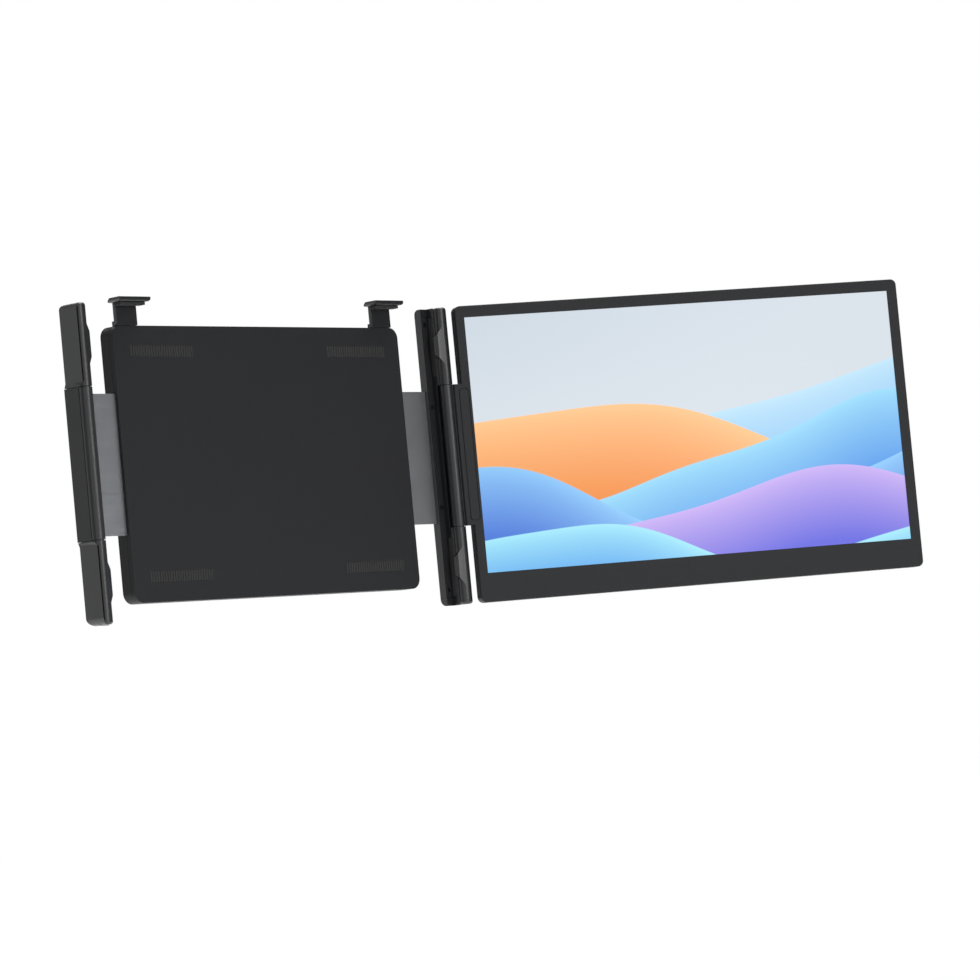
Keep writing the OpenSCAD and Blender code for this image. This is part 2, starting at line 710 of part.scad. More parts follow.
module frame_rear_shell() {
    color(plastic) difference() {
        union() {
            difference() {
                along_y(split_y, frame_t) frame_outline(0);
                along_y(split_y - 1, frame_t - frame_wall) frame_outline(frame_wall);
            }
            // walls and floor of the kickstand's recess, and the lugs for its pin
            box([-recess_w / 2 - frame_wall, recess_floor_y - frame_wall, recess_bottom_z - frame_wall],
                [recess_w / 2 + frame_wall, frame_t, recess_top_z + frame_wall]);
            both_sides() box([recess_w / 2, recess_floor_y - frame_wall, stand_pin_z - 3],
                             [recess_w / 2 + 7, frame_t, recess_top_z + frame_wall]);
            for (spot = frame_screw_spots)
                rod_y(spot[0], spot[1], boss_r, split_y, frame_t - frame_wall / 2);
            rod_y(0, 0, 2 * post_r, slide_y + slide_t + 0.2 + gap, recess_floor_y - frame_wall / 2);
            // guides beside each hook's stem
            both_sides() for (side = [-1, 1])
                translate([hook_x + side * (stem_w / 2 + gap + 0.8), 0, 0])
                    box([-0.8, split_y, stem_foot_z + stem_foot_h + hook_travel + gap],
                        [0.8, frame_t - frame_wall / 2, frame_h / 2 - frame_wall / 2]);
            // ribs that press on the slide plates from behind
            both_sides() both_ends() box([recess_w / 2 + 4, slide_y + slide_t + gap, slide_h / 2 - 8],
                [frame_w / 2 - frame_wall / 2, frame_t - frame_wall / 2, slide_h / 2 - 6.5]);
        }
        box([-recess_w / 2, recess_floor_y, recess_bottom_z], [recess_w / 2, frame_t + 1, recess_top_z]);
        frame_slots();
        translate([-recess_w / 2 - 6, stand_y, stand_pin_z]) rotate([0, 90, 0])
            cylinder(r = stand_pin_r + snug, h = recess_w + 12);
        rod_y(0, 0, post_r + snug, split_y, recess_floor_y - frame_wall / 2);
        for (spot = frame_screw_spots) {
            rod_y(spot[0], spot[1], screw_r + gap, split_y - 1, frame_t + 1);
            rod_y(spot[0], spot[1], screw_head_r + gap / 2, frame_t - screw_head_t - 0.2, frame_t + 1);
        }
    }
}

module frame_screws() {
    color(dark_steel) for (spot = frame_screw_spots) {
        rod_y(spot[0], spot[1], screw_head_r, frame_t - screw_head_t - 0.2, frame_t - 0.2);
        rod_y(spot[0], spot[1], screw_r, frame_wall, frame_t - screw_head_t - 0.1);
    }
}

// Kickstand

module kickstand_plate() {
    color(satin_plastic) difference() {
        union() {
            along_y(stand_y - stand_t / 2, stand_y + stand_t / 2)
                translate([-stand_w / 2, stand_pin_z - stand_l + stand_foot_h])
                    square([stand_w, stand_l - stand_foot_h]);
            translate([-stand_w / 2, stand_y, stand_pin_z]) rotate([0, 90, 0])
                cylinder(r = stand_t / 2, h = stand_w);
        }
        translate([-stand_w, stand_y, stand_pin_z]) rotate([0, 90, 0])
            cylinder(r = stand_pin_r + running_fit, h = 2 * stand_w);
        // shallow finger groove near the foot
        translate([0, stand_y + stand_t / 2 + 3, stand_pin_z - stand_l + stand_foot_h + 10])
            rotate([0, 90, 0]) cylinder(r = 4, h = stand_w / 3, center = true);
    }
}

module kickstand_foot() {
    color(rubber) box([-stand_w / 2, stand_y - stand_t / 2, stand_pin_z - stand_l],
                      [stand_w / 2, stand_y + stand_t / 2, stand_pin_z - stand_l + stand_foot_h]);
}

module kickstand_pin() {
    color(steel) translate([-recess_w / 2 - 5.5, stand_y, stand_pin_z]) rotate([0, 90, 0])
        cylinder(r = stand_pin_r, h = recess_w + 11);
}

// Top hooks

// Front outline of a hook's plate
module hook_outline() {
    translate([-hook_w / 2, hook_corner_r]) square([hook_w, hook_t - hook_corner_r]);
    translate([-hook_w / 2 + hook_corner_r, 0]) square([hook_w - 2 * hook_corner_r, hook_t]);
    for (side = [-1, 1]) translate([side * (hook_w / 2 - hook_corner_r), hook_corner_r]) circle(hook_corner_r);
}

// Side outline of a hook's plate, from its front to its back
module hook_profile() {
    front_y = -lid_t - hook_reach;
    polygon([[front_y, hook_z + hook_front_bevel], [front_y + hook_front_bevel, hook_z],
             [hook_back_y, hook_z], [hook_back_y, hook_z + hook_t - hook_back_bevel],
             [hook_back_y - hook_back_bevel, hook_z + hook_t], [front_y, hook_z + hook_t]]);
}

module hook() {
    x0 = hook_x - stem_w / 2;
    x1 = hook_x + stem_w / 2;
    color(plastic) {
        intersection() {
            along_y(-lid_t - hook_reach - 1, hook_back_y + 1) translate([hook_x, hook_z]) hook_outline();
            along_x(hook_x - hook_w, hook_x + hook_w) hook_profile();
        }
        // the stem stands close behind the lid, and steps back into the frame
        box([x0, stem_lid_y, jog_z], [x1, hook_back_y, hook_z + 0.5]);
        box([x0, stem_lid_y, jog_z], [x1, stem_y + stem_t, jog_z + stem_t]);
        box([x0, stem_y, stem_foot_z], [x1, stem_y + stem_t, jog_z + stem_t]);
        box([x0 - 3, stem_y, stem_foot_z], [x1 + 3, stem_y + stem_t, stem_foot_z + stem_foot_h]);
    }
}

module hook_pad() {
    color(rubber) box([hook_x - hook_pad_w / 2, -lid_t - 0.5, lid_top],
                      [hook_x + hook_pad_w / 2, -0.5, hook_z]);
}

// Hinge pieces, drawn in the hinge's own frame

module barrel() {
    difference() {
        translate([0, 0, -barrel_h / 2]) cylinder(r = barrel_r, h = barrel_h);
        both_ends() translate([0, 0, barrel_h / 2 - bush_l - gap])
            cylinder(r = shaft_r + bush_wall + snug, h = bush_l + 1);
    }
}

module bushes() {
    color("#b5935a") both_ends() translate([0, 0, barrel_h / 2 - bush_l]) difference() {
        cylinder(r = shaft_r + bush_wall, h = bush_l);
        translate([0, 0, -1]) cylinder(r = shaft_r + running_fit, h = bush_l + 2);
    }
}

module washers() {
    color(steel) both_ends() translate([0, 0, washer_z]) difference() {
        cylinder(r = barrel_r - washer_inset, h = washer_t);
        translate([0, 0, -1]) cylinder(r = shaft_r + running_fit, h = washer_t + 2);
    }
}

// Flat tongue that joins a barrel to its leaf
module leaf_tongue(h, reach) {
    difference() {
        box([0, leaf_y, -h / 2], [reach, leaf_y + leaf_t, h / 2]);
        translate([0, 0, -h]) cylinder(r = barrel_r - 0.5, h = 2 * h);
    }
}

// Countersunk hole or screw through a leaf and its cover
module leaf_screw(x, z, grow, start_y) {
    rod_y(x, z, screw_head_r + grow, start_y, start_y + screw_head_t);
    rod_y(x, z, screw_r + grow, start_y, leaf_y + leaf_t - 0.1 + 3 * grow);
}

module screen_hinge_leaf() {
    color(dark_steel) difference() {
        union() {
            barrel();
            leaf_tongue(ear_h, screen_gap - gap);
            leaf_tongue(leaf_h, leaf_step_x + leaf_t);
            box([leaf_step_x, leaf_y, -leaf_h / 2],
                [leaf_step_x + leaf_t, leaf_back_y + leaf_t, leaf_h / 2]);
            box([leaf_step_x, leaf_back_y, -leaf_h / 2],
                [leaf_reach, leaf_back_y + leaf_t, leaf_h / 2]);
        }
        for (z = leaf_screw_z) rod_y(strip_x, z, screw_r + snug, leaf_y - 1, leaf_y + leaf_t + 1);
    }
}

module hinge_screws() {
    color(dark_steel) for (z = leaf_screw_z) leaf_screw(strip_x, z, 0, face_y + strip_t);
}

module hinge_screw_strip() {
    color(plastic) along_y(face_y - 0.1, face_y + strip_t - 0.1)
        translate([strip_x, 0]) rounded_rect(strip_w - 0.5, strip_l - 0.5, strip_w / 3);
}

module left_hinge_leaf() {
    color(dark_steel) difference() {
        union() {
            barrel();
            leaf_tongue(ear_h, flap_w - 1.2);
        }
        for (z = leaf_screw_z) rod_y(flap_w / 2 + 3, z, screw_r + snug, leaf_y - 1, leaf_y + leaf_t + 1);
    }
}

// Plastic cover of the left leaf, flush with the barrel, fixed by screws from the leaf's inner face
module left_leaf_cover() {
    color(plastic) difference() {
        union() {
            box([cover_start, face_y, -ear_h / 2], [flap_w, leaf_y, ear_h / 2]);
            box([flap_w - 1.1, face_y, -ear_h / 2], [flap_w, leaf_y + leaf_t, ear_h / 2]);
        }
        translate([0, 0, -ear_h]) cylinder(r = barrel_r + snug, h = 2 * ear_h);
        for (z = leaf_screw_z) rod_y(flap_w / 2 + 3, z, screw_r + snug, face_y + 0.6, leaf_y + 1);
    }
}

module left_leaf_screws() {
    color(dark_steel) for (z = leaf_screw_z)
        rod_y(flap_w / 2 + 3, z, screw_r, face_y + 0.7, leaf_y + leaf_t);
}

// Screen, drawn in the hinge's own frame

module screen_outline(inset) {
    translate([screen_gap + screen_w / 2, 0])
        rounded_rect(screen_w - 2 * inset, screen_h - 2 * inset, screen_corner_r - inset);
}

module screen_bezel() {
    color(plastic) difference() {
        union() {
            difference() {
                along_y(face_y, join_y) screen_outline(0);
                along_y(panel_y, join_y + 1) screen_outline(screen_wall);
            }
            box([ear_start, face_y, -ear_h / 2], [leaf_step_x + leaf_t, leaf_y, ear_h / 2]);
            for (x = cover_screw_x) rod_y(x, cover_screw_z, boss_r, panel_y - 0.1, join_y);
        }
        along_y(face_y - 1, join_y) translate([display_x, display_z]) square([display_w, display_h]);
        along_y(face_y - 1, face_y + strip_t)
            translate([strip_x, 0]) rounded_rect(strip_w, strip_l, strip_w / 3);
        for (z = leaf_screw_z) leaf_screw(strip_x, z, gap / 3, face_y + strip_t);
        box([screen_gap - 1, leaf_y, -leaf_h / 2 - gap], [leaf_step_x, join_y + 1, leaf_h / 2 + gap]);
        for (x = cover_screw_x) rod_y(x, cover_screw_z, screw_r + snug, panel_y + 0.4, join_y + 1);
    }
}

// A slot through the free edge, for a control or a port
module edge_slot(y, z, w, l) {
    along_x(screen_end - screen_wall - 1, screen_end + 1) translate([y, z]) pill(w, l);
}

module speaker_slots(x) {
    for (i = [-4:4]) along_y(inner_y - 1, back_y + 1)
        translate([x + i * 3.2, cover_screw_z + 1]) pill(1.2, 6);
}

module screen_rear_cover() {
    color(plastic) difference() {
        union() {
            difference() {
                along_y(join_y, back_y) screen_outline(0);
                along_y(join_y - 1, inner_y) screen_outline(screen_wall);
            }
            for (x = cover_screw_x) rod_y(x, cover_screw_z, boss_r, join_y, back_y - rear_wall / 2);
            rod_y(pivot_x, menu_z, pivot_r, join_y + 0.5, back_y - rear_wall / 2);
        }
        box([screen_gap - 1, join_y - 1, -leaf_h / 2 - gap],
            [leaf_step_x, leaf_y + leaf_t + gap, leaf_h / 2 + gap]);
        for (x = cover_screw_x) {
            rod_y(x, cover_screw_z, screw_r + gap, join_y - 1, back_y + 1);
            rod_y(x, cover_screw_z, screw_head_r + gap / 2, back_y - screw_head_t - 0.2, back_y + 1);
        }
        for (x = speaker_x) speaker_slots(x);
        edge_slot(control_y, power_z, control_w + 2 * gap, power_l + 2 * gap);
        edge_slot(control_y, menu_z, control_w + 2 * gap, menu_l + 2 * gap);
        for (i = [-1:1])
            edge_slot(port_y, port_z + i * port_pitch, port_h + 2 * snug, port_l[i + 1] + 2 * snug);
    }
}

module cover_screws() {
    color(dark_steel) for (x = cover_screw_x) {
        rod_y(x, cover_screw_z, screw_head_r, back_y - screw_head_t - 0.2, back_y - 0.2);
        rod_y(x, cover_screw_z, screw_r, panel_y + 0.6, back_y - screw_head_t - 0.1);
    }
}

// Places a rectangle that is larger than the lit area by the panel's hidden edge
module panel_rect(extra_bottom) {
    translate([display_x - panel_edge, display_z - panel_edge - extra_bottom])
        square([display_w + 2 * panel_edge, display_h + 2 * panel_edge + extra_bottom]);
}

module display_panel() {
    color("#9cc0dc") along_y(panel_y, backlight_y) panel_rect(0);
}

module backlight_unit() {
    color("#c8cbcf") along_y(backlight_y, behind_panel_y) panel_rect(4);
}

module driver_board() {
    y0 = behind_panel_y + 0.4;
    color(board_green) translate([screen_gap + screen_w / 2, 0, 0])
        box([-driver_board_w / 2, y0, -driver_board_h / 2],
            [driver_board_w / 2, y0 + board_t, driver_board_h / 2]);
    color(rubber) for (i = [-1.5:1:1.5])
        translate([screen_gap + screen_w / 2 + i * chip_pitch, 0, 0])
            box([-chip_w / 2, y0 + board_t - 0.1, -chip_w / 2], [chip_w / 2, inner_y - 0.5, chip_w / 2]);
}

module edge_board(z0, z1) {
    x1 = screen_end - screen_wall - port_in;
    color(board_green)
        box([x1 - 26, behind_panel_y + 0.3, z0], [x1, behind_panel_y + 0.3 + board_t, z1]);
}

module port_board() {
    edge_board(port_z - port_pitch - 8, port_z + port_pitch + 8);
}

module button_board() {
    switch_x = screen_end - screen_wall - flange_gap - flange_t - power_travel - 0.6;
    edge_board(power_z - 6, menu_z + menu_l / 2 + 2);
    // one switch behind the button, and one behind each end of the rocker
    color(dark_steel) for (z = [power_z, menu_z - menu_l / 3, menu_z + menu_l / 3])
        box([screen_end - screen_wall - port_in - 1, behind_panel_y + 0.6, z - 1.6],
            [switch_x, behind_panel_y + 2.6, z + 1.6]);
}

// A connector shell with an open mouth and a tongue inside
module port(i) {
    x0 = screen_end - port_in;
    color(steel) translate([0, 0, port_z + i * port_pitch]) {
        difference() {
            along_x(x0, screen_end - 0.1) translate([port_y, 0]) pill(port_h, port_l[i + 1]);
            along_x(x0 + 1, screen_end + 1) translate([port_y, 0])
                pill(port_h - 0.6, port_l[i + 1] - 0.6);
        }
        box([x0 + 0.5, port_y - 0.35, -port_l[i + 1] / 2 + 2],
            [screen_end - 1.5, port_y + 0.35, port_l[i + 1] / 2 - 2]);
    }
}

module speaker(x) {
    color(rubber) box([x - speaker_w / 2, join_y + 0.2, -screen_h / 2 + screen_wall + 0.5],
                      [x + speaker_w / 2, inner_y - 0.2, display_z - panel_edge - 4.5]);
}

// A control's cap with a flange that keeps it behind the housing's wall
module control_cap(z, l) {
    flange_x = screen_end - screen_wall - flange_gap;
    translate([0, control_y, z]) {
        along_x(flange_x - flange_t, screen_end + control_proud) pill(control_w, l);
        along_x(flange_x - flange_t, flange_x) pill(flange_w, l + 1.6);
    }
}

module power_button() {
    color(satin_plastic) control_cap(power_z, power_l);
}

// The rocker turns on a post of the rear cover
module menu_rocker() {
    color(satin_plastic) difference() {
        union() {
            control_cap(menu_z, menu_l);
            rod_y(pivot_x, menu_z, pivot_hub_r, control_y - flange_w / 2, control_y + flange_w / 2);
        }
        rod_y(pivot_x, menu_z, pivot_r + running_fit, join_y, inner_y + 1);
    }
}

// Sub-parts

frame_front_shell();
frame_rear_shell();
seat_pads();
frame_screws();
pinion_post();
kickstand_pin();
sync_pinion();
kickstand_plate();
kickstand_foot();
mirror([1, 0, 0]) hook();  // left_hook
mirror([1, 0, 0]) hook_pad();  // left_hook_pad
hook();  // right_hook
hook_pad();  // right_hook_pad
mirror([1, 0, 0]) rail_shell();  // left_rail_shell
mirror([1, 0, 0]) rail_cover();  // left_rail_cover
mirror([1, 0, 0]) side_pads();  // left_side_pads
mirror([1, 0, 0]) rail_screws();  // left_rail_screws
rotate([0, 180, 0]) slide_plate();  // left_slide_plate
mirror([1, 0, 0]) hinge_shaft();  // left_upper_shaft
rotate([0, 180, 0]) hinge_shaft();  // left_lower_shaft
mirror([1, 0, 0]) tube_caps();  // left_tube_caps
rail_shell();  // right_rail_shell
rail_cover();  // right_rail_cover
side_pads();  // right_side_pads
rail_screws();  // right_rail_screws
slide_plate();  // right_slide_plate
hinge_shaft();  // right_upper_shaft
mirror([0, 0, 1]) hinge_shaft();  // right_lower_shaft
tube_caps();  // right_tube_caps
at_left_leaf() left_hinge_leaf();
at_left_leaf() left_leaf_cover();
at_left_leaf() left_leaf_screws();
at_left_leaf() bushes();  // left_bushes
at_left_leaf() washers();  // left_washers
at_screen() screen_hinge_leaf();
at_screen() bushes();  // screen_bushes
at_screen() washers();  // screen_washers
at_screen() hinge_screws();
at_screen() hinge_screw_strip();
at_screen() screen_bezel();
at_screen() screen_rear_cover();
at_screen() display_panel();
at_screen() backlight_unit();
at_screen() driver_board();
at_screen() port_board();
at_screen() button_board();
at_screen() speaker(speaker_x[0]);  // left_speaker
at_screen() speaker(speaker_x[1]);  // right_speaker
at_screen() port(-1);  // power_usb_port
at_screen() port(0);  // display_usb_port
at_screen() port(1);  // mini_video_port
at_screen() cover_screws();
at_screen() power_button();
at_screen() menu_rocker();
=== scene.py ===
"""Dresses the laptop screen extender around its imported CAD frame.

The row frame has X along the lid, Y away from the viewer and Z up along the rails. Sizes are in
millimetres where a name says nothing else, and turn into metres where a mesh is made.
"""

import json
import logging
import math
from dataclasses import dataclass, field
from enum import Enum
from typing import Any, Callable, ClassVar, Sequence

import bmesh
import bpy
from bmesh.types import BMEdge, BMesh, BMFace
from bpy.types import Material, Mesh, Node, NodeSocket, NodeTree, Object
from mathutils import Euler, Matrix, Vector

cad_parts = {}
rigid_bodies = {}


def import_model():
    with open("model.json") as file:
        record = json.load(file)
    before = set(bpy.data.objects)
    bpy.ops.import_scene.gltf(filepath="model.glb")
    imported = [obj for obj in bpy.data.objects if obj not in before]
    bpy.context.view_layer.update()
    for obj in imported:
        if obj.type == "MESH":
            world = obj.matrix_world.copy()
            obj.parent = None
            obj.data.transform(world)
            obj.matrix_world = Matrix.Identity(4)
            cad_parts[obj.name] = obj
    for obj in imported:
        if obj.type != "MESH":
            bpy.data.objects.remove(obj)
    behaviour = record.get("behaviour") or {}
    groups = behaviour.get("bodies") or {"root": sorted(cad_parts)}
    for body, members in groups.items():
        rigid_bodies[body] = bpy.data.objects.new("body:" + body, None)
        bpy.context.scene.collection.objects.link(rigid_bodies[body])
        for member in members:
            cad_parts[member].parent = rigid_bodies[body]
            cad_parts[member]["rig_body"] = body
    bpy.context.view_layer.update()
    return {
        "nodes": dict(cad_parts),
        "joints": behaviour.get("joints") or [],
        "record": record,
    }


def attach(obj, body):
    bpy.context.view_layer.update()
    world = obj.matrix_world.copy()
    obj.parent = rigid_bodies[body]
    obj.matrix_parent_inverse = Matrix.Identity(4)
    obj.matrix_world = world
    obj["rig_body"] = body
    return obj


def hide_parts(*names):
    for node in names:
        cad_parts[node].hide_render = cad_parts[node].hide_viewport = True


LOG = logging.getLogger("extender")
MM = 0.001

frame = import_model()
SLOT_OF = {part["node"]: part["material_slot"] for part in frame["record"]["subparts"]}
JOINTS = {joint["name"]: joint for joint in frame["joints"]}

SCREEN_TURN = math.radians(-30)
HINGE = Matrix.Translation(JOINTS["screen_hinge"]["pos_m"]) @ Matrix.Rotation(SCREEN_TURN, 4, "Z")
HINGE_AXES = [Vector(JOINTS[name]["pos_m"]) for name in ("left_leaf_hinge", "screen_hinge")]
BARREL_RADIUS = 5.0
WHITE = (1, 1, 1, 1)

# An edge is rounded where its faces meet at more than this angle
SHARP_FROM = math.radians(32)
# The radius is tried at these shares until less than the limit is folded, in square millimetres
ROUNDING_SHARES = (1.0, 0.8, 0.6, 0.45, 0.3, 0.2)
FOLD_LIMIT = 0.3


def linear(colour: str) -> tuple[float, float, float, float]:
    """Turns an sRGB hex colour into linear red, green, blue and alpha.

    Args:
        colour: a hash and six hex digits.

    Returns:
        The linear colour with an alpha of 1.
    """
    shares = [int(colour[i : i + 2], 16) / 255 for i in (1, 3, 5)]
    return (*(c / 12.92 if c <= 0.04045 else ((c + 0.055) / 1.055) ** 2.4 for c in shares), 1.0)


def add(tree: NodeTree, kind: str, inputs: dict | Sequence = (), **settings: Any) -> Node:
    """Adds one node with its settings, its values and its links.

    Args:
        tree: the shader or geometry tree that gets the node.
        kind: the node's type.
        inputs: values or other nodes' outputs, by an input's name or number, or in their order.
        settings: the node's own attributes.

    Returns:
        The new node.
    """
    node = tree.nodes.new(kind)
    for name, value in settings.items():
        setattr(node, name, value)
    for key, value in inputs.items() if isinstance(inputs, dict) else enumerate(inputs):
        if isinstance(value, NodeSocket):
            tree.links.new(value, node.inputs[key])
        else:
            node.inputs[key].default_value = value
    return node


# Finishes


class Run(Enum):
    """Which way a surface's grain runs, as how much longer it is along each axis."""

    EVEN = (1, 1, 1)
    ALONG_X = (60, 1, 1)
    ALONG_Z = (1, 1, 60)


@dataclass(frozen=True)
class Finish:
    """One real material, and how its surface was made.

    Attributes:
        name: its common name and its treatment.
        colour: its sRGB colour.
        roughness: the shader's roughness in the middle of its small range.
        metallic: 1 for bare metal, 0 for plastic, rubber and paint.
        grain: size of the surface's grain.
        depth: depth of the grain.
        relief: strength of the grain in the light.
        mottle: share by which the tone varies over some centimetres.
        specular: the shader's specular level, lower where the texture traps light.
        run: which way the grain runs.
        patch_size: size of the patches in which the tone varies.
        polish: how far the roughness strays from its middle.
        grain_levels: the grain's lowest and highest usual value.
    """

    name: str
    colour: str
    roughness: float
    metallic: float = 0.0
    grain: float = 0.9
    depth: float = 0.05
    relief: float = 0.3
    mottle: float = 0.08
    specular: float = 0.5
    run: Run = Run.EVEN
    patch_size: ClassVar[float] = 40.0
    polish: ClassVar[float] = 0.04
    grain_levels: ClassVar[tuple[float, float]] = (0.3, 0.7)

    def tone(self, tree: NodeTree, place: NodeSocket) -> NodeSocket:
        """Gives the colour, which varies slightly over some centimetres.

        Args:
            tree: the material's tree.
            place: the Object coordinate.

        Returns:
            The colour.
        """
        patches = add(tree, "ShaderNodeTexNoise", {
            "Vector": place, "Scale": 1 / (self.patch_size * MM), "Detail": 3.0})
        base = linear(self.colour)
        darker, paler = (
            (*(c * (1 + sign * self.mottle) for c in base[:3]), 1.0) for sign in (-1, 1))
        return add(tree, "ShaderNodeMix", {0: patches.outputs["Fac"], 6: darker, 7: paler},
                   data_type="RGBA").outputs[2]

    def shader(self, tree: NodeTree, place: NodeSocket) -> Node:
        """Builds the shader with its tone, grain and uneven polish.

        Args:
            tree: the material's tree.
            place: the Object coordinate.

        Returns:
            The Principled node.
        """
        size = [1 / (self.grain * MM * longer) for longer in self.run.value]
        scaled = add(tree, "ShaderNodeMapping", {"Vector": place, "Scale": size}).outputs[0]
        grain = add(tree, "ShaderNodeTexNoise", {
            "Vector": scaled, "Scale": 1.0, "Detail": 2.0}).outputs["Fac"]
        bump = add(tree, "ShaderNodeBump", {
            "Strength": self.relief, "Distance": self.depth * MM, "Height": grain})
        low, high = self.grain_levels
        polish = add(tree, "ShaderNodeMapRange", {
            "Value": grain, "From Min": low, "From Max": high,
            "To Min": self.roughness - self.polish, "To Max": self.roughness + self.polish})
        return add(tree, "ShaderNodeBsdfPrincipled", {
            "Base Color": self.tone(tree, place), "Roughness": polish.outputs[0],
            "Metallic": self.metallic, "Specular IOR Level": self.specular,
            "Normal": bump.outputs[0]})

    def material(self) -> Material:
        """Gives the material, which is made on the first call.

        Returns:
            The material.
        """
        made = bpy.data.materials.get(self.name)
        if made is None:
            made = bpy.data.materials.new(self.name)
            made.use_nodes = True
            made.diffuse_color = linear(self.colour)
            tree = made.node_tree
            tree.nodes.clear()
            place = add(tree, "ShaderNodeTexCoord").outputs["Object"]
            add(tree, "ShaderNodeOutputMaterial", {"Surface": self.shader(tree, place).outputs[0]})
        return made


@dataclass(frozen=True)
class BoardFinish(Finish):
    """Solder mask over copper tracks, which show as paler lines.

    Attributes:
        track_pitch: distance between tracks.
        block_pitches: size of a field of tracks, in pitches.
        wave_pitches: length of the tracks' bends, in pitches.
        bend: how much the tracks bend.
        track_colour: the mask's sRGB colour over copper.
    """

    track_pitch: float = 1.2
    block_pitches: float = 3.0
    wave_pitches: float = 6.0
    bend: float = 2.0
    track_colour: str = "#4f9a6c"

    def tone(self, tree: NodeTree, place: NodeSocket) -> NodeSocket:
        """Gives the mask's green with its tracks.

        Args:
            tree: the material's tree.
            place: the Object coordinate.

        Returns:
            The colour.
        """
        scale = 1 / (self.track_pitch * MM)
        blocks = add(tree, "ShaderNodeTexVoronoi", {
            "Vector": place, "Scale": scale / self.block_pitches}, distance="MANHATTAN")
        lines = add(tree, "ShaderNodeTexWave", {
            "Vector": place, "Scale": scale / self.wave_pitches, "Distortion": self.bend})
        tracks = add(tree, "ShaderNodeMath", (blocks.outputs["Distance"], lines.outputs["Fac"]),
                     operation="MULTIPLY", use_clamp=True).outputs[0]
        return add(tree, "ShaderNodeMix", {
            0: tracks, 6: linear(self.colour), 7: linear(self.track_colour)},
            data_type="RGBA").outputs[2]


@dataclass(frozen=True)
class Hill:
    """One rolling hill of the picture on the panel, in shares of the lit height and width.

    Attributes:
        crest: the hill's middle height.
        swell: height of its long wave.
        waves: number of long waves across the panel.
        phase: where the long wave starts.
        ripple: height of its second, shorter wave.
        rim: colour at the crest.
        foot: colour deep below the crest.
        fade: depth over which the rim's colour turns into the foot's.
    """

    crest: float
    swell: float
    waves: float
    phase: float
    ripple: float
    rim: str
    foot: str
    fade: float


@dataclass(frozen=True)
class LitPanel(Finish):
    """The lit panel behind its matt glass: a picture of rolling hills under a pale sky.

    Attributes:
        corner: lower corner of the lit area at the hinge, in the hinge's own frame.
        width: width of the lit area.
        height: height of the lit area.
        hills: the hills, the furthest one first.
        sky: the sky's sRGB colours, at its foot, at its top and towards the far side.
        ripple_rate: how much quicker the second wave of a hill is.
        crispness: how sharply a hill stands out from what lies behind it.
        fade_power: how early the rim's colour fades, below 1 for early.
        glow_power: how late the sky turns towards the far side, above 1 for late.
    """

    corner: tuple[float, float, float] = (0.0, 0.0, 0.0)
    width: float = 1.0
    height: float = 1.0
    hills: tuple[Hill, ...] = ()
    sky: tuple[str, str, str] = ("#e2e7ec", "#cad5df", "#d3dbe3")
    ripple_rate: float = 2.3
    crispness: float = 300.0
    fade_power: float = 0.7
    glow_power: float = 1.4

    def hill(self, tree: NodeTree, across: Any, up: Any, behind: Any, hill: Hill) -> NodeSocket:
        """Paints one hill over what lies behind it.

        Args:
            tree: the material's tree.
            across: share of the width.
            up: share of the height.
            behind: the picture so far.
            hill: the hill.

        Returns:
            The picture with the hill.
        """
        math_node = "ShaderNodeMath"
        turn = add(tree, math_node, (across, hill.waves * math.tau, hill.phase),
                   operation="MULTIPLY_ADD").outputs[0]
        slow = add(tree, math_node, (turn,), operation="SINE").outputs[0]
        swell = add(tree, math_node, (slow, hill.swell, hill.crest),
                    operation="MULTIPLY_ADD").outputs[0]
        quick = add(tree, math_node, (turn, self.ripple_rate), operation="MULTIPLY").outputs[0]
        ripple = add(tree, math_node, (quick,), operation="COSINE").outputs[0]
        top = add(tree, math_node, (ripple, hill.ripple, swell),
                  operation="MULTIPLY_ADD").outputs[0]
        depth = add(tree, math_node, (top, up), operation="SUBTRACT").outputs[0]
        inside = add(tree, math_node, (depth, self.crispness),
                     operation="MULTIPLY", use_clamp=True).outputs[0]
        fade = add(tree, math_node, (depth, hill.fade),
                   operation="DIVIDE", use_clamp=True).outputs[0]
        shade = add(tree, math_node, (fade, self.fade_power), operation="POWER").outputs[0]
        body = add(tree, "ShaderNodeMix", {0: shade, 6: linear(hill.rim), 7: linear(hill.foot)},
                   data_type="RGBA").outputs[2]
        return add(tree, "ShaderNodeMix", {0: inside, 6: behind, 7: body},
                   data_type="RGBA").outputs[2]

    def shader(self, tree: NodeTree, place: NodeSocket) -> Node:
        """Builds the panel's shader, whose picture gives its own light.

        Args:
            tree: the material's tree.
            place: the Object coordinate.

        Returns:
            The Principled node.
        """
        start = HINGE @ (Vector(self.corner) * MM)
        panel = add(tree, "ShaderNodeMapping", {
            "Vector": place, "Location": start, "Rotation": (0, 0, SCREEN_TURN),
            "Scale": (self.width * MM, 1.0, self.height * MM)}, vector_type="TEXTURE")
        across, _, up = add(tree, "ShaderNodeSeparateXYZ", (panel.outputs[0],)).outputs
        foot, top, far = (linear(colour) for colour in self.sky)
        sky = add(tree, "ShaderNodeMix", {0: up, 6: foot, 7: top}, data_type="RGBA").outputs[2]
        glow = add(tree, "ShaderNodeMath", (across, self.glow_power),
                   operation="POWER", use_clamp=True).outputs[0]
        picture = add(tree, "ShaderNodeMix", {0: glow, 6: sky, 7: far},
                      data_type="RGBA").outputs[2]
        for hill in self.hills:
            picture = self.hill(tree, across, up, picture, hill)
        return add(tree, "ShaderNodeBsdfPrincipled", {
            "Base Color": linear(self.colour), "Roughness": self.roughness,
            "Specular IOR Level": self.specular,
            "Emission Color": picture, "Emission Strength": 1.0})


# Spark-eroded ABS: a dark, dry, even surface with a broad soft sheen
MOULDED_ABS = Finish("abs_spark_eroded_black", "#161719", roughness=0.56, specular=0.22)
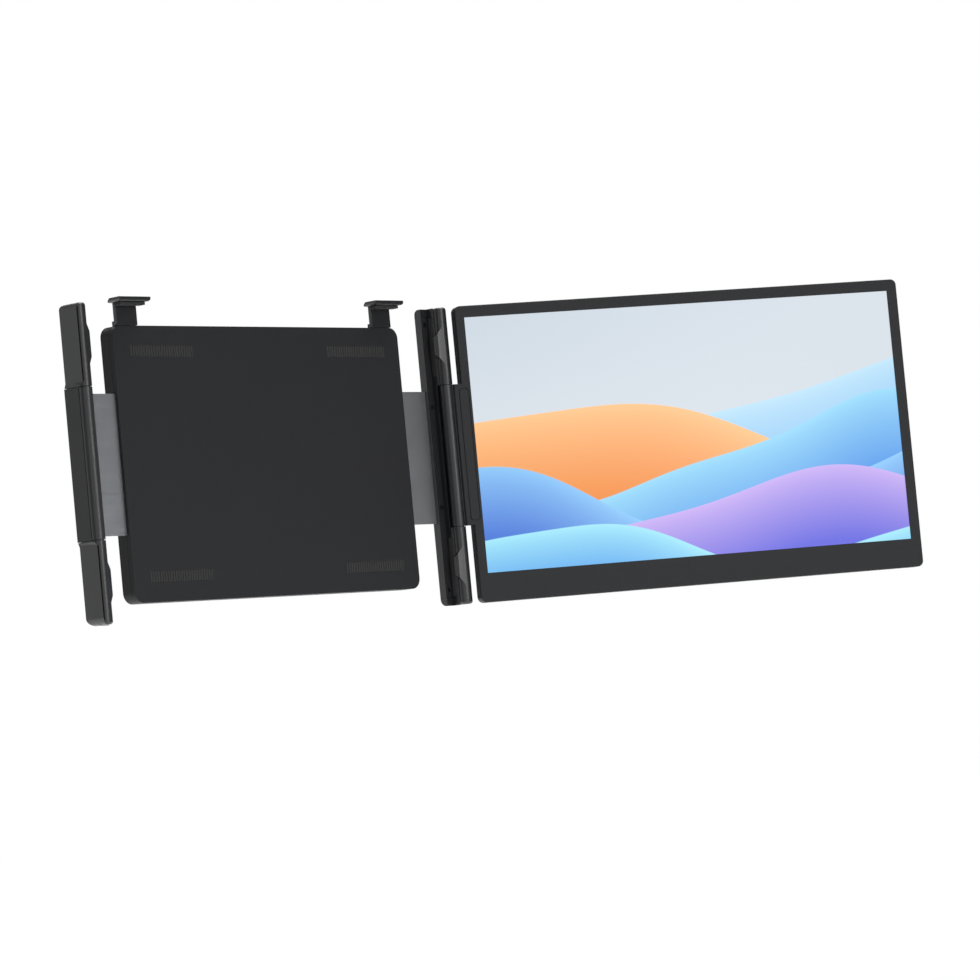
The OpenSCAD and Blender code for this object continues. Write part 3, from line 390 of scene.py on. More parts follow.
# The same ABS off a polished tool: a narrower highlight that runs down a tube
SATIN_ABS = Finish("abs_satin_black", "#131416", roughness=0.37, grain=0.7, relief=0.12)
# The leaf's cover, between the two: handled often, so slightly polished
WORN_ABS = Finish("abs_moulded_worn_black", "#151618", roughness=0.44, grain=0.8, relief=0.2,
                  specular=0.36)
# Powder coat on the steel barrels, matched to the tubes
COATED_STEEL = Finish("steel_powder_coated_black", "#141517", roughness=0.39, grain=0.6,
                      relief=0.18)
# Moulded silicone: dull, nearly black, with a slight bloom
SILICONE = Finish("silicone_moulded_black", "#161617", roughness=0.82, grain=1.1, mottle=0.2)
# Cold-rolled stainless sheet: fine parallel lines along the rolling direction
ROLLED_STEEL = Finish("stainless_steel_rolled", "#b4b7bb", 0.34, metallic=1.0, grain=0.25,
                      run=Run.ALONG_X)
# Black oxide on screws and leaves: dark metal with a low sheen
BLACK_OXIDE = Finish("steel_black_oxide", "#34363a", 0.42, metallic=1.0, grain=0.5, relief=0.15)
# Sintered bronze bushes: warm and slightly porous
SINTERED_BRONZE = Finish("bronze_sintered", "#a9814e", 0.46, metallic=1.0, grain=0.35, relief=0.5)
# Acetal gear: creamy and waxy
ACETAL = Finish("acetal_moulded", "#d9d2bd", roughness=0.45, grain=1.5, relief=0.1)
# Gold flash on contacts
GOLD_FLASH = Finish("gold_flash_plated", "#d8b25c", 0.3, metallic=1.0, grain=0.4, relief=0.1)
# Backlight tray: bright rolled aluminium
TRAY = Finish("aluminium_rolled_tray", "#c9ccd0", 0.38, metallic=1.0, grain=0.3, run=Run.ALONG_Z)
# Fibreglass board under solder mask
BOARD = BoardFinish("fibreglass_solder_mask", "#1d5536", roughness=0.4, relief=0.15)

FINISH_OF_SLOT = {
    "moulded_black": MOULDED_ABS, "satin_black": SATIN_ABS, "rubber_black": SILICONE,
    "steel": ROLLED_STEEL, "black_steel": BLACK_OXIDE, "brass": SINTERED_BRONZE,
    "acetal": ACETAL, "backlight": TRAY, "circuit_board": BOARD,
}


# Meshes


def linked(name: str, mesh: Mesh) -> Object:
    """Puts a mesh into the scene as an object at the origin.

    Args:
        name: the object's name.
        mesh: its mesh.

    Returns:
        The object.
    """
    made = bpy.data.objects.new(name, mesh)
    bpy.context.scene.collection.objects.link(made)
    return made


def settle(piece: Object) -> Object:
    """Turns a piece and its modifiers into a plain mesh.

    Args:
        piece: the piece, whose modifiers are removed.

    Returns:
        The same piece.
    """
    graph = bpy.context.evaluated_depsgraph_get()
    mesh = bpy.data.meshes.new_from_object(piece.evaluated_get(graph), depsgraph=graph)
    piece.modifiers.clear()
    piece.data = mesh
    return piece


def merged_copy(node: str) -> BMesh:
    """Copies a CAD node's loose triangles and joins them into whole faces.

    Args:
        node: the node's name.

    Returns:
        The joined mesh, which the caller frees.
    """
    same_place, flat = 0.002 * MM, math.radians(0.6)
    copy = bmesh.new()
    copy.from_mesh(frame["nodes"][node].data)
    bmesh.ops.remove_doubles(copy, verts=copy.verts, dist=same_place)
    bmesh.ops.dissolve_limit(copy, angle_limit=flat, verts=copy.verts, edges=copy.edges)
    return copy


def has_room(edge: BMEdge, radius: float) -> bool:
    """Tells whether an edge's rounding fits beside the edges that meet it.

    Args:
        edge: the edge.
        radius: the rounding's radius, in metres.

    Returns:
        False where an edge that runs across it is too short for a rounding at each of its ends.
    """
    two_roundings, crosses_from = 2.1 * radius, 0.5
    along = (edge.verts[1].co - edge.verts[0].co).normalized()
    for vert in edge.verts:
        for other in vert.link_edges:
            across = other.other_vert(vert).co - vert.co
            crosses = along.cross(across.normalized()).length > crosses_from
            if crosses and across.length < two_roundings:
                return False
    return True


def folded_area(mesh: BMesh) -> float:
    """Measures how much of a mesh's faces lies folded over itself, in square millimetres.

    Args:
        mesh: the mesh.

    Returns:
        The area, without the rounding errors of faces that are sound.
    """
    noise = 0.02
    covered: dict[BMFace, float] = {}
    for first, second, third in mesh.calc_loop_triangles():
        start = first.vert.co
        area = (second.vert.co - start).cross(third.vert.co - start).length / 2
        covered[first.face] = covered.get(first.face, 0.0) + area
    excess = [(area - face.calc_area()) / MM**2 for face, area in covered.items()]
    return sum(area for area in excess if area > noise)


def true_round(piece: Object, axis: Vector, radius: float) -> None:
    """Gives the faces of an upright tube the exact normals of its round surface.

    Args:
        piece: a plain mesh in the row frame.
        axis: a point on the tube's axis, in metres.
        radius: the tube's radius, in metres.
    """
    on_surface, faces_outwards = 0.02 * MM, 0.96
    mesh = piece.data
    normals = [corner.vector.copy() for corner in mesh.corner_normals]
    for face in mesh.polygons:
        for corner in face.loop_indices:
            spoke = mesh.vertices[mesh.loops[corner].vertex_index].co - axis
            spoke.z = 0
            outwards = spoke.normalized()
            near = abs(spoke.length - radius) < on_surface
            if near and face.normal.dot(outwards) > faces_outwards:
                normals[corner] = outwards
    mesh.normals_split_custom_set(normals)


def loose_boxes(node: str, into: Matrix = Matrix.Identity(4)) -> list[tuple[Vector, Vector]]:
    """Measures each separate solid of a CAD node.

    Args:
        node: the node's name.
        into: turns row-frame points into the frame that the boxes are wanted in.

    Returns:
        The lowest and the highest corner of each solid, in metres.
    """
    column_digits = 4
    copy = merged_copy(node)
    left, boxes = set(copy.verts), []
    while left:
        reached, edge = set(), {left.pop()}
        while edge:
            reached |= edge
            edge = {e.other_vert(v) for v in edge for e in v.link_edges} - reached
        left -= reached
        places = [into @ v.co for v in reached]
        boxes.append(tuple(
            Vector(pick(p[i] for p in places) for i in range(3)) for pick in (min, max)))
    copy.free()
    return sorted(boxes, key=lambda box: (round(box[0].x, column_digits), box[0].z))


def grow(name: str, places: Sequence[Vector], tree: NodeTree, values: dict[str, Any]) -> Object:
    """Runs a Geometry Nodes tree on a set of points and keeps the result as a plain mesh.

    Args:
        name: the new piece's name.
        places: the points, in metres.
        tree: the tree.
        values: its inputs by name.

    Returns:
        The piece.
    """
    mesh = bpy.data.meshes.new(name)
    mesh.from_pydata([tuple(p) for p in places], [], [])
    piece = linked(name, mesh)
    modifier = piece.modifiers.new(tree.name, "NODES")
    modifier.node_group = tree
    items = tree.interface.items_tree
    sockets = {item.name: item.identifier for item in items if item.in_out == "INPUT"}
    for label, value in values.items():
        modifier[sockets[label]] = value
    return settle(piece)


def new_tree(name: str, inputs: dict[str, str]) -> tuple[NodeTree, dict[str, NodeSocket]]:
    """Starts a Geometry Nodes tree with named inputs.

    Args:
        name: the tree's name.
        inputs: each input's name and its kind, such as Float.

    Returns:
        The tree, and its inputs' sockets by name.
    """
    tree = bpy.data.node_groups.new(name, "GeometryNodeTree")
    for label, kind in {"Points": "Geometry", **inputs}.items():
        tree.interface.new_socket(label, in_out="INPUT", socket_type=f"NodeSocket{kind}")
    tree.interface.new_socket("Geometry", in_out="OUTPUT", socket_type="NodeSocketGeometry")
    return tree, {s.name: s for s in add(tree, "NodeGroupInput").outputs if s.name}


def finish_tree(tree: NodeTree, given: dict[str, NodeSocket], shape: NodeSocket) -> None:
    """Ends a tree: the shape is set on every point, made real and given its material.

    Args:
        tree: the tree.
        given: its inputs' sockets, with Points, Turn and Finish among them.
        shape: the shape's output.
    """
    turn = add(tree, "FunctionNodeEulerToRotation", (given["Turn"],)).outputs[0]
    spread = add(tree, "GeometryNodeInstanceOnPoints", {
        "Points": given["Points"], "Instance": shape, "Rotation": turn}).outputs[0]
    real = add(tree, "GeometryNodeRealizeInstances", (spread,)).outputs[0]
    painted = add(tree, "GeometryNodeSetMaterial", {
        "Geometry": real, "Material": given["Finish"]}).outputs[0]
    add(tree, "NodeGroupOutput", (painted,))


def box_shape(tree: NodeTree, size: Sequence[Any], at: Sequence[Any]) -> NodeSocket:
    """Adds a box to a tree.

    Args:
        tree: the tree.
        size: its three sizes, as numbers or outputs.
        at: its centre, as numbers or outputs.

    Returns:
        The box's output.
    """
    sizes = add(tree, "ShaderNodeCombineXYZ", size).outputs[0]
    centre = add(tree, "ShaderNodeCombineXYZ", at).outputs[0]
    cube = add(tree, "GeometryNodeMeshCube", {"Size": sizes}).outputs["Mesh"]
    return add(tree, "GeometryNodeTransform", {"Geometry": cube, "Translation": centre}).outputs[0]


def join_shapes(tree: NodeTree, *shapes: NodeSocket) -> NodeSocket:
    """Joins shapes of a tree into one.

    Args:
        tree: the tree.
        shapes: the shapes' outputs.

    Returns:
        The joined shape's output.
    """
    node = add(tree, "GeometryNodeJoinGeometry")
    for shape in shapes:
        tree.links.new(shape, node.inputs[0])
    return node.outputs[0]


def end_points(tree: NodeTree, axis: int, reach: NodeSocket) -> list[NodeSocket]:
    """Adds the two ends of a row that is centred on the origin.

    Args:
        tree: the tree.
        axis: the row's axis, from 0 to 2.
        reach: distance from the origin to each end.

    Returns:
        The outputs of the lower and the upper end.
    """
    back = add(tree, "ShaderNodeMath", (reach, -1.0), operation="MULTIPLY").outputs[0]
    return [add(tree, "ShaderNodeCombineXYZ", {axis: place}).outputs[0] for place in (back, reach)]


def screw_tree() -> NodeTree:
    """Builds the tree of a pan-head screw with a cross recess, its head's underside at the point.

    Returns:
        The tree.
    """
    arm_share, slot_share, head_sides, shank_sides = 1.15, 0.28, 32, 24
    # The bars end at different depths, so that the second cut meets no face of the first
    depth_shares = (1.2, 1.28)
    tree, given = new_tree("cross_recess_screw", {
        "Head radius": "Float", "Head height": "Float", "Shank radius": "Float",
        "Shank length": "Float", "Turn": "Vector", "Finish": "Material"})
    radius, height, length = given["Head radius"], given["Head height"], given["Shank length"]
    lift, arm, width, *depths, sink = (
        add(tree, "ShaderNodeMath", (whole, share), operation="MULTIPLY").outputs[0]
        for whole, share in (
            (height, 0.5), (radius, arm_share), (radius, slot_share),
            (height, depth_shares[0]), (height, depth_shares[1]), (length, -0.5)))
    rods = []
    for sides, rod_radius, depth, middle in (
            (head_sides, radius, height, lift),
            (shank_sides, given["Shank radius"], length, sink)):
        rod = add(tree, "GeometryNodeMeshCylinder", {
            "Vertices": sides, "Radius": rod_radius, "Depth": depth}).outputs["Mesh"]
        place = add(tree, "ShaderNodeCombineXYZ", {2: middle}).outputs[0]
        rods.append(add(tree, "GeometryNodeTransform", {
            "Geometry": rod, "Translation": place}).outputs[0])
    head, shank = rods
    for size in ((arm, width, depths[0]), (width, arm, depths[1])):
        bar = box_shape(tree, size, (0, 0, height))
        head = add(tree, "GeometryNodeMeshBoolean", {"Mesh 1": head, "Mesh 2": bar},
                   operation="DIFFERENCE", solver="EXACT").outputs[0]
    finish_tree(tree, given, join_shapes(tree, head, shank))
    return tree


def rib_tree() -> NodeTree:
    """Builds the tree of a ribbed pad: a base with ribs across its length on the -Y side.

    Returns:
        The tree.
    """
    tree, given = new_tree("ribbed_pad", {
        "Length": "Float", "Width": "Float", "Thickness": "Float", "Groove depth": "Float",
        "Rib width": "Float", "Rib count": "Int", "Turn": "Vector", "Finish": "Material"})
    length, width, thick = given["Length"], given["Width"], given["Thickness"]
    groove, rib_width = given["Groove depth"], given["Rib width"]
    base_thick, spare = (
        add(tree, "ShaderNodeMath", pair, operation="SUBTRACT").outputs[0]
        for pair in ((thick, groove), (length, rib_width)))
    base_back, reach = (
        add(tree, "ShaderNodeMath", (whole, 0.5), operation="MULTIPLY").outputs[0]
        for whole in (groove, spare))
    base = box_shape(tree, (length, base_thick, width), (0, base_back, 0))
    rib = box_shape(tree, (rib_width, thick, width), (0, 0, 0))
    start, end = end_points(tree, 0, reach)
    row = add(tree, "GeometryNodeMeshLine", {
        "Count": given["Rib count"], "Start Location": start, "Offset": end}, mode="END_POINTS")
    ribs = add(tree, "GeometryNodeInstanceOnPoints", {
        "Points": row.outputs[0], "Instance": rib}).outputs[0]
    finish_tree(tree, given, join_shapes(tree, base, ribs))
    return tree


def contact_tree() -> NodeTree:
    """Builds the tree of a row of flat contacts along Z, as on a connector's tongue.

    Returns:
        The tree.
    """
    tree, given = new_tree("contact_row", {
        "Pitch": "Float", "Count": "Int", "Size": "Vector", "Turn": "Vector",
        "Finish": "Material"})
    last = add(tree, "ShaderNodeMath", (given["Count"], 1.0), operation="SUBTRACT").outputs[0]
    whole = add(tree, "ShaderNodeMath", (last, given["Pitch"]), operation="MULTIPLY").outputs[0]
    reach = add(tree, "ShaderNodeMath", (whole, 0.5), operation="MULTIPLY").outputs[0]
    start, end = end_points(tree, 2, reach)
    row = add(tree, "GeometryNodeMeshLine", {
        "Count": given["Count"], "Start Location": start, "Offset": end}, mode="END_POINTS")
    contact = add(tree, "GeometryNodeMeshCube", {"Size": given["Size"]}).outputs["Mesh"]
    contacts = add(tree, "GeometryNodeInstanceOnPoints", {
        "Points": row.outputs[0], "Instance": contact}).outputs[0]
    finish_tree(tree, given, contacts)
    return tree


# Sub-assemblies


@dataclass
class SubAssembly:
    """A group of pieces that is built and dressed together.

    Attributes:
        nodes: the CAD nodes that keep their shape and only get their finish.
        made: the pieces built so far.
        screw_head: height of a screw's head.
        screw_shank: radius of a screw's shank.
    """

    nodes: tuple[str, ...] = ()
    made: list[Object] = field(default_factory=list)
    screw_head: ClassVar[float] = 0.8
    screw_shank: ClassVar[float] = 0.9

    def keep(self, piece: Object, *replaced: str, finish: Finish | None = None) -> Object:
        """Gives a new piece its finish, which is its slot's unless one is given, and its body, and
        hides what it stands for.

        Args:
            piece: the finished mesh.
            replaced: the CAD nodes that it stands for, the first of which gives the body and the
                slot whose finish it takes.
            finish: its finish, where it isn't the slot's own.

        Returns:
            The piece.
        """
        chosen = (finish or FINISH_OF_SLOT[SLOT_OF[replaced[0]]]).material()
        if not piece.data.materials:
            piece.data.materials.append(chosen)
        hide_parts(*replaced)
        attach(piece, frame["nodes"][replaced[0]]["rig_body"])
        self.made.append(piece)
        return piece

    def soften(
        self, node: str, radius: float, finish: Finish | None = None,
        rims: Callable[[BMEdge], bool] | None = None, rim_radius: float = 0.0
    ) -> Object:
        """Rounds a node's outward edges as moulding or tumbling leaves them.

        Inner corners, and edges with no room beside them, stay sharp. The radius shrinks until
        less than the limit of the faces lies folded. Where no share does, all edges stay sharp.

        Args:
            node: the node's name.
            radius: the edges' radius.
            finish: the piece's finish, where it isn't the slot's own.
            rims: tells which edges get a larger radius of their own first.
            rim_radius: that larger radius.

        Returns:
            The piece that replaces the node.
        """
        edge_segments, rim_segments, half_round = 3, 5, 0.5
        whole = merged_copy(node)
        for share in ROUNDING_SHARES:
            copy = whole.copy()
            rounds = [(rims, rim_radius, rim_segments)] if rims is not None else []
            for wanted, size, segments in (*rounds, (lambda edge: True, radius, edge_segments)):
                reach = size * share * MM
                chosen = [e for e in copy.edges if e.is_convex and e.calc_face_angle(0) > SHARP_FROM
                          and wanted(e) and has_room(e, reach)]
                bmesh.ops.bevel(
                    copy, geom=chosen, offset=reach, offset_type="OFFSET", segments=segments,
                    profile=half_round, affect="EDGES", clamp_overlap=False)
            folds = folded_area(copy)
            if folds < FOLD_LIMIT:
                break
            copy.free()
        else:
            share, copy = 0.0, whole.copy()
        LOG.info("%s: rounded at %.2f of its radius, %.2f folded", node, share, folds)
        whole.free()
        for edge in copy.edges:
            edge.smooth = edge.calc_face_angle(0) <= SHARP_FROM
        for face in copy.faces:
            face.smooth = True
        mesh = bpy.data.meshes.new(f"{node}_dressed")
        copy.to_mesh(mesh)
        copy.free()
        piece = linked(f"{node}_dressed", mesh)
        piece.modifiers.new("even_normals", "WEIGHTED_NORMAL").keep_sharp = True
        settle(piece)
        for axis in HINGE_AXES:
            true_round(piece, axis, BARREL_RADIUS * MM)
        return self.keep(piece, node, finish=finish)

    def screws(self, node: str, tree: NodeTree, frame_of: Matrix, head_at_back: bool) -> Object:
        """Replaces plain CAD screws by screws with a cross recess.

        Args:
            node: the CAD node with the screws.
            tree: the screw's Geometry Nodes tree.
            frame_of: turns points of the screws' own frame into the row frame.
            head_at_back: whether the heads are on the +Y side.

        Returns:
            The piece.
        """
        boxes = loose_boxes(node, frame_of.inverted())
        low, high = boxes[0]
        head_radius, whole_length = (high.x - low.x) / 2, high.y - low.y
        head_height, side = self.screw_head * MM, 1 if head_at_back else -1
        seats = []
        for low, high in boxes:
            face = high.y if head_at_back else low.y
            seat = ((low.x + high.x) / 2, face - side * head_height, (low.z + high.z) / 2)
            seats.append(frame_of @ Vector(seat))
        upright = Euler((math.radians(-90 * side), 0, 0)).to_matrix()
        piece = grow(f"{node}_dressed", seats, tree, {
            "Head radius": head_radius, "Head height": head_height,
            "Shank radius": self.screw_shank * MM, "Shank length": whole_length - head_height,
            "Turn": tuple((frame_of.to_3x3() @ upright).to_euler()),
            "Finish": BLACK_OXIDE.material()})
        return self.keep(piece, node)

    def dress(self) -> None:
        """Gives the kept CAD nodes the finish of their slot, and reports the pieces."""
        for node in self.nodes:
            paint(node, FINISH_OF_SLOT[SLOT_OF[node]])
        for piece in self.made:
            LOG.info("%s: %d faces", piece.name, len(piece.data.polygons))


def paint(node: str, finish: Finish) -> None:
    """Assigns a finish to a CAD node that stays as it is.

    Args:
        node: the node's name.
        finish: the finish.
    """
    materials = frame["nodes"][node].data.materials
    materials.clear()
    materials.append(finish.material())


@dataclass
class Rail(SubAssembly):
    """One C-shaped rail with its tubes, its caps and its slide plate.

    Attributes:
        side: left or right, as the nodes' names begin.
        shell_edge: radius of the shell's edges.
        cover_edge: radius of the inner cover's edges.
        cap_edge: radius of the tube caps' edges.
        pad_edge: radius of the side pads' edges.
    """

    side: str = "right"
    shell_edge: float = 0.2
    cover_edge: float = 0.25
    cap_edge: float = 0.1
    pad_edge: float = 0.3

    def build(self, tree: NodeTree) -> None:
        """Builds the rail's rounded shell, cover, caps and pads, and its screws.

        Args:
            tree: the screw's Geometry Nodes tree.
        """
        self.soften(f"{self.side}_rail_shell", self.shell_edge, SATIN_ABS)
        self.soften(f"{self.side}_rail_cover", self.cover_edge)
        self.soften(f"{self.side}_tube_caps", self.cap_edge)
        self.soften(f"{self.side}_side_pads", self.pad_edge)
        self.screws(f"{self.side}_rail_screws", tree, Matrix.Identity(4), head_at_back=False)
        self.nodes = tuple(
            f"{self.side}_{name}" for name in ("upper_shaft", "lower_shaft", "slide_plate"))


@dataclass
class LeftLeaf(SubAssembly):
    """The left hinge's moving half: barrel, short leaf and the leaf's cover.

    Attributes:
        barrel_edge: radius of the barrel's and the leaf's edges.
        cover_edge: radius of the cover's edges.
    """

    nodes: tuple[str, ...] = ("left_leaf_screws", "left_bushes", "left_washers")
    barrel_edge: float = 0.2
    cover_edge: float = 0.12

    def build(self) -> None:
        """Builds the coated barrel and the rounded cover."""
        self.soften("left_hinge_leaf", self.barrel_edge, COATED_STEEL)
        self.soften("left_leaf_cover", self.cover_edge, WORN_ABS)


@dataclass
class Screen(SubAssembly):
    """The hinged screen: housing, lit panel, controls and ports.

    Attributes:
        gap: distance from the hinge axis to the housing.
        lit_width: width of the lit area.
        lit_height: height of the lit area.
        bezel_side: bezel beside the hinge.
        bezel_low: bezel below the lit area.
        height: height of the housing.
        width: width of the housing.
        half_thickness: distance from the hinge axis to the housing's front and back.
        panel_depth: distance from the housing's front to the panel.
        barrel_edge: radius of the barrel's and the leaf's edges.
        bezel_edge: radius of the bezel's edges.
        bezel_rim: radius of the bezel's outline.
        cover_edge: radius of the rear cover's edges.
        cover_rim: radius of the rear cover's outline.
        strip_edge: radius of the screw strip's edges.
        control_edge: radius of the button's and the rocker's edges.
        port_edge: radius of the ports' edges.
        tongue_half: half the thickness of a port's tongue.
        contact_size: length, thickness and width of a contact.
        contact_pitch: distance between contacts.
        contact_inset: distance from a port's mouth to the contacts' middle.
        contact_margin: length of a port without contacts.
    """

    nodes: tuple[str, ...] = (
        "screen_bushes", "screen_washers", "hinge_screws", "backlight_unit", "driver_board",
        "port_board", "button_board", "left_speaker", "right_speaker")
    gap: float = 10.6
    lit_width: float = 344.2
    lit_height: float = 193.6
    bezel_side: float = 7.2
    bezel_low: float = 22.0
    height: float = 224.5
    width: float = 359.7
    half_thickness: float = 5.0
    panel_depth: float = 1.0
    barrel_edge: float = 0.2
    bezel_edge: float = 0.3
    bezel_rim: float = 1.0
    cover_edge: float = 0.25
    cover_rim: float = 1.2
    strip_edge: float = 0.2
    control_edge: float = 0.3
    port_edge: float = 0.08
    tongue_half: float = 0.35
    contact_size: tuple[float, float, float] = (3.0, 0.04, 0.25)
    contact_pitch: float = 0.5
    contact_inset: float = 4.2
    contact_margin: float = 5.0

    def on_rim(self, edge: BMEdge, depth: float) -> bool:
        """Tells whether an edge runs round the outside of the housing's front or back.

        Args:
            edge: an edge in the row frame.
            depth: distance from the hinge axis to the front or the back.

        Returns:
            True where both its ends are at that depth and near the outline.
        """
        corner_reach, rim_reach, touching = 4.6, 1.4, 0.01
        for vert in edge.verts:
            place = HINGE.inverted() @ vert.co / MM
            inside_x = min(place.x - self.gap, self.gap + self.width - place.x)
            inside_z = self.height / 2 - abs(place.z)
            nearer, further = sorted((inside_x, inside_z))
            if abs(place.y - depth) > touching or nearer > rim_reach:
                return False
            if nearer > touching and further > corner_reach:
                return False
        return True

    def picture(self) -> LitPanel:
        """Gives the panel's finish: blue hills and one amber hill under a pale sky.

        Returns:
            The finish.
        """
        hills = (
            Hill(0.60, 0.15, 0.55, 4.0, 0.030, "#bfe4f7", "#6db4ee", 0.45),
            Hill(0.48, 0.16, 0.60, 0.8, 0.030, "#ffc88c", "#f08a34", 0.38),
            Hill(0.42, 0.16, 0.75, 3.4, 0.035, "#9adcf8", "#2b83e4", 0.40),
            Hill(0.28, 0.15, 0.80, 2.0, 0.030, "#8ecbfa", "#1a55cf", 0.36),
            Hill(0.18, 0.12, 0.70, 4.4, 0.025, "#cdb2f2", "#5b5fdc", 0.30),
            Hill(0.06, 0.11, 0.90, 0.6, 0.020, "#a6ecfa", "#2f8fe8", 0.26))
        corner = (self.gap + self.bezel_side, self.panel_depth - self.half_thickness,
                  self.bezel_low - self.height / 2)
        return LitPanel(
            "glass_matt_lit_panel", "#050506", roughness=0.3, specular=0.2, corner=corner,
            width=self.lit_width, height=self.lit_height, hills=hills)

    def build(self, screw: NodeTree, contact: NodeTree) -> None:
        """Builds the housing, the hinge, the controls and the ports' contacts.

        Args:
            screw: the screw's Geometry Nodes tree.
            contact: the contact row's Geometry Nodes tree.
        """
        half = self.half_thickness
        self.soften("screen_hinge_leaf", self.barrel_edge, COATED_STEEL)
        self.soften("screen_bezel", self.bezel_edge,
                    rims=lambda edge: self.on_rim(edge, -half), rim_radius=self.bezel_rim)
        self.soften("screen_rear_cover", self.cover_edge,
                    rims=lambda edge: self.on_rim(edge, half), rim_radius=self.cover_rim)
        self.soften("hinge_screw_strip", self.strip_edge)
        for node in ("power_button", "menu_rocker"):
            self.soften(node, self.control_edge)
        self.screws("cover_screws", screw, HINGE, head_at_back=True)
        paint("display_panel", self.picture())
        for node in ("power_usb_port", "display_usb_port", "mini_video_port"):
            self.soften(node, self.port_edge)
            self.contacts(node, contact)

    def contacts(self, port: str, tree: NodeTree) -> None:
        """Lays gold contacts on both faces of a port's tongue.

        Args:
            port: the port's node.
            tree: the contact row's Geometry Nodes tree.
        """
        proud = 0.01
        lift = self.tongue_half + proud
        low, high = (corner / MM for corner in loose_boxes(port, HINGE.inverted())[0])
        middle = (low + high) / 2
        places = [
            HINGE @ (Vector((high.x - self.contact_inset, middle.y + side * lift, middle.z)) * MM)
            for side in (-1, 1)]
        count = int((high.z - low.z - self.contact_margin) / self.contact_pitch)
        piece = grow(f"{port}_contacts", places, tree, {
            "Pitch": self.contact_pitch * MM, "Count": count,
            "Size": tuple(size * MM for size in self.contact_size),
            "Turn": (0, 0, SCREEN_TURN), "Finish": GOLD_FLASH.material()})
        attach(piece, "screen")
        self.made.append(piece)


@dataclass
class BackFrame(SubAssembly):
    """The frame behind the lid, with its seat pads, pinion and kickstand.

    Attributes:
        front_edge: radius of the front shell's edges.
        rear_edge: radius of the rear shell's edges.
        stand_edge: radius of the kickstand's and its foot's edges.
        groove: depth of the grooves between the pads' ribs.
        rib_width: width of a rib.
        rib_count: number of ribs on a pad.
    """

    nodes: tuple[str, ...] = ("pinion_post", "kickstand_pin", "sync_pinion")
    front_edge: float = 0.5
    rear_edge: float = 0.4
    stand_edge: float = 0.4
    groove: float = 0.35
    rib_width: float = 1.2
    rib_count: int = 25

    def build(self, screw: NodeTree, rib: NodeTree) -> None:
        """Builds the shells, the ribbed pads, the screws and the kickstand.

        Args:
            screw: the screw's Geometry Nodes tree.
            rib: the ribbed pad's Geometry Nodes tree.
        """
        self.soften("frame_front_shell", self.front_edge)
        self.soften("frame_rear_shell", self.rear_edge)
        self.soften("kickstand_plate", self.stand_edge, SATIN_ABS)
        self.soften("kickstand_foot", self.stand_edge)
        self.screws("frame_screws", screw, Matrix.Identity(4), head_at_back=True)
        pads = loose_boxes("seat_pads")
        size = pads[0][1] - pads[0][0]
        piece = grow("seat_pads_dressed", [(low + high) / 2 for low, high in pads], rib, {
            "Length": size.x, "Width": size.z, "Thickness": size.y,
            "Groove depth": self.groove * MM, "Rib width": self.rib_width * MM,
            "Rib count": self.rib_count, "Turn": (0, 0, 0), "Finish": SILICONE.material()})
        self.keep(piece, "seat_pads")


@dataclass
class Hook(SubAssembly):
    """One top hook with its rubber pad.

    Attributes:
        side: left or right, as the nodes' names begin.
        edge: radius of the hook's edges.
        pad_edge: radius of the pad's edges.
    """

    side: str = "right"
    edge: float = 0.6
    pad_edge: float = 0.3

    def build(self) -> None:
        """Builds the rounded hook and its pad."""
        self.soften(f"{self.side}_hook", self.edge, SATIN_ABS)
        self.soften(f"{self.side}_hook_pad", self.pad_edge)


# Studio


@dataclass(frozen=True)
class Lamp:
    """One softbox.

    Attributes:
        name: what it does.
        place_m: where it stands.
        aim_m: the point that it faces.
        size_m: its width and height.
        watts: its power.
    """

    name: str
    place_m: tuple[float, float, float]
    aim_m: tuple[float, float, float]
    size_m: tuple[float, float]
    watts: float

    def build(self) -> None:
        """Places the softbox."""
        data = bpy.data.lights.new(self.name, "AREA")
        data.shape, data.size, data.size_y = "RECTANGLE", *self.size_m
        data.energy = self.watts
        lamp = bpy.data.objects.new(self.name, data)
        lamp.visible_camera = False
        place = Vector(self.place_m)
        lamp.matrix_world = Matrix.Translation(place) @ (
            Vector(self.aim_m) - place).to_track_quat("-Z", "Y").to_matrix().to_4x4()
        bpy.context.scene.collection.objects.link(lamp)


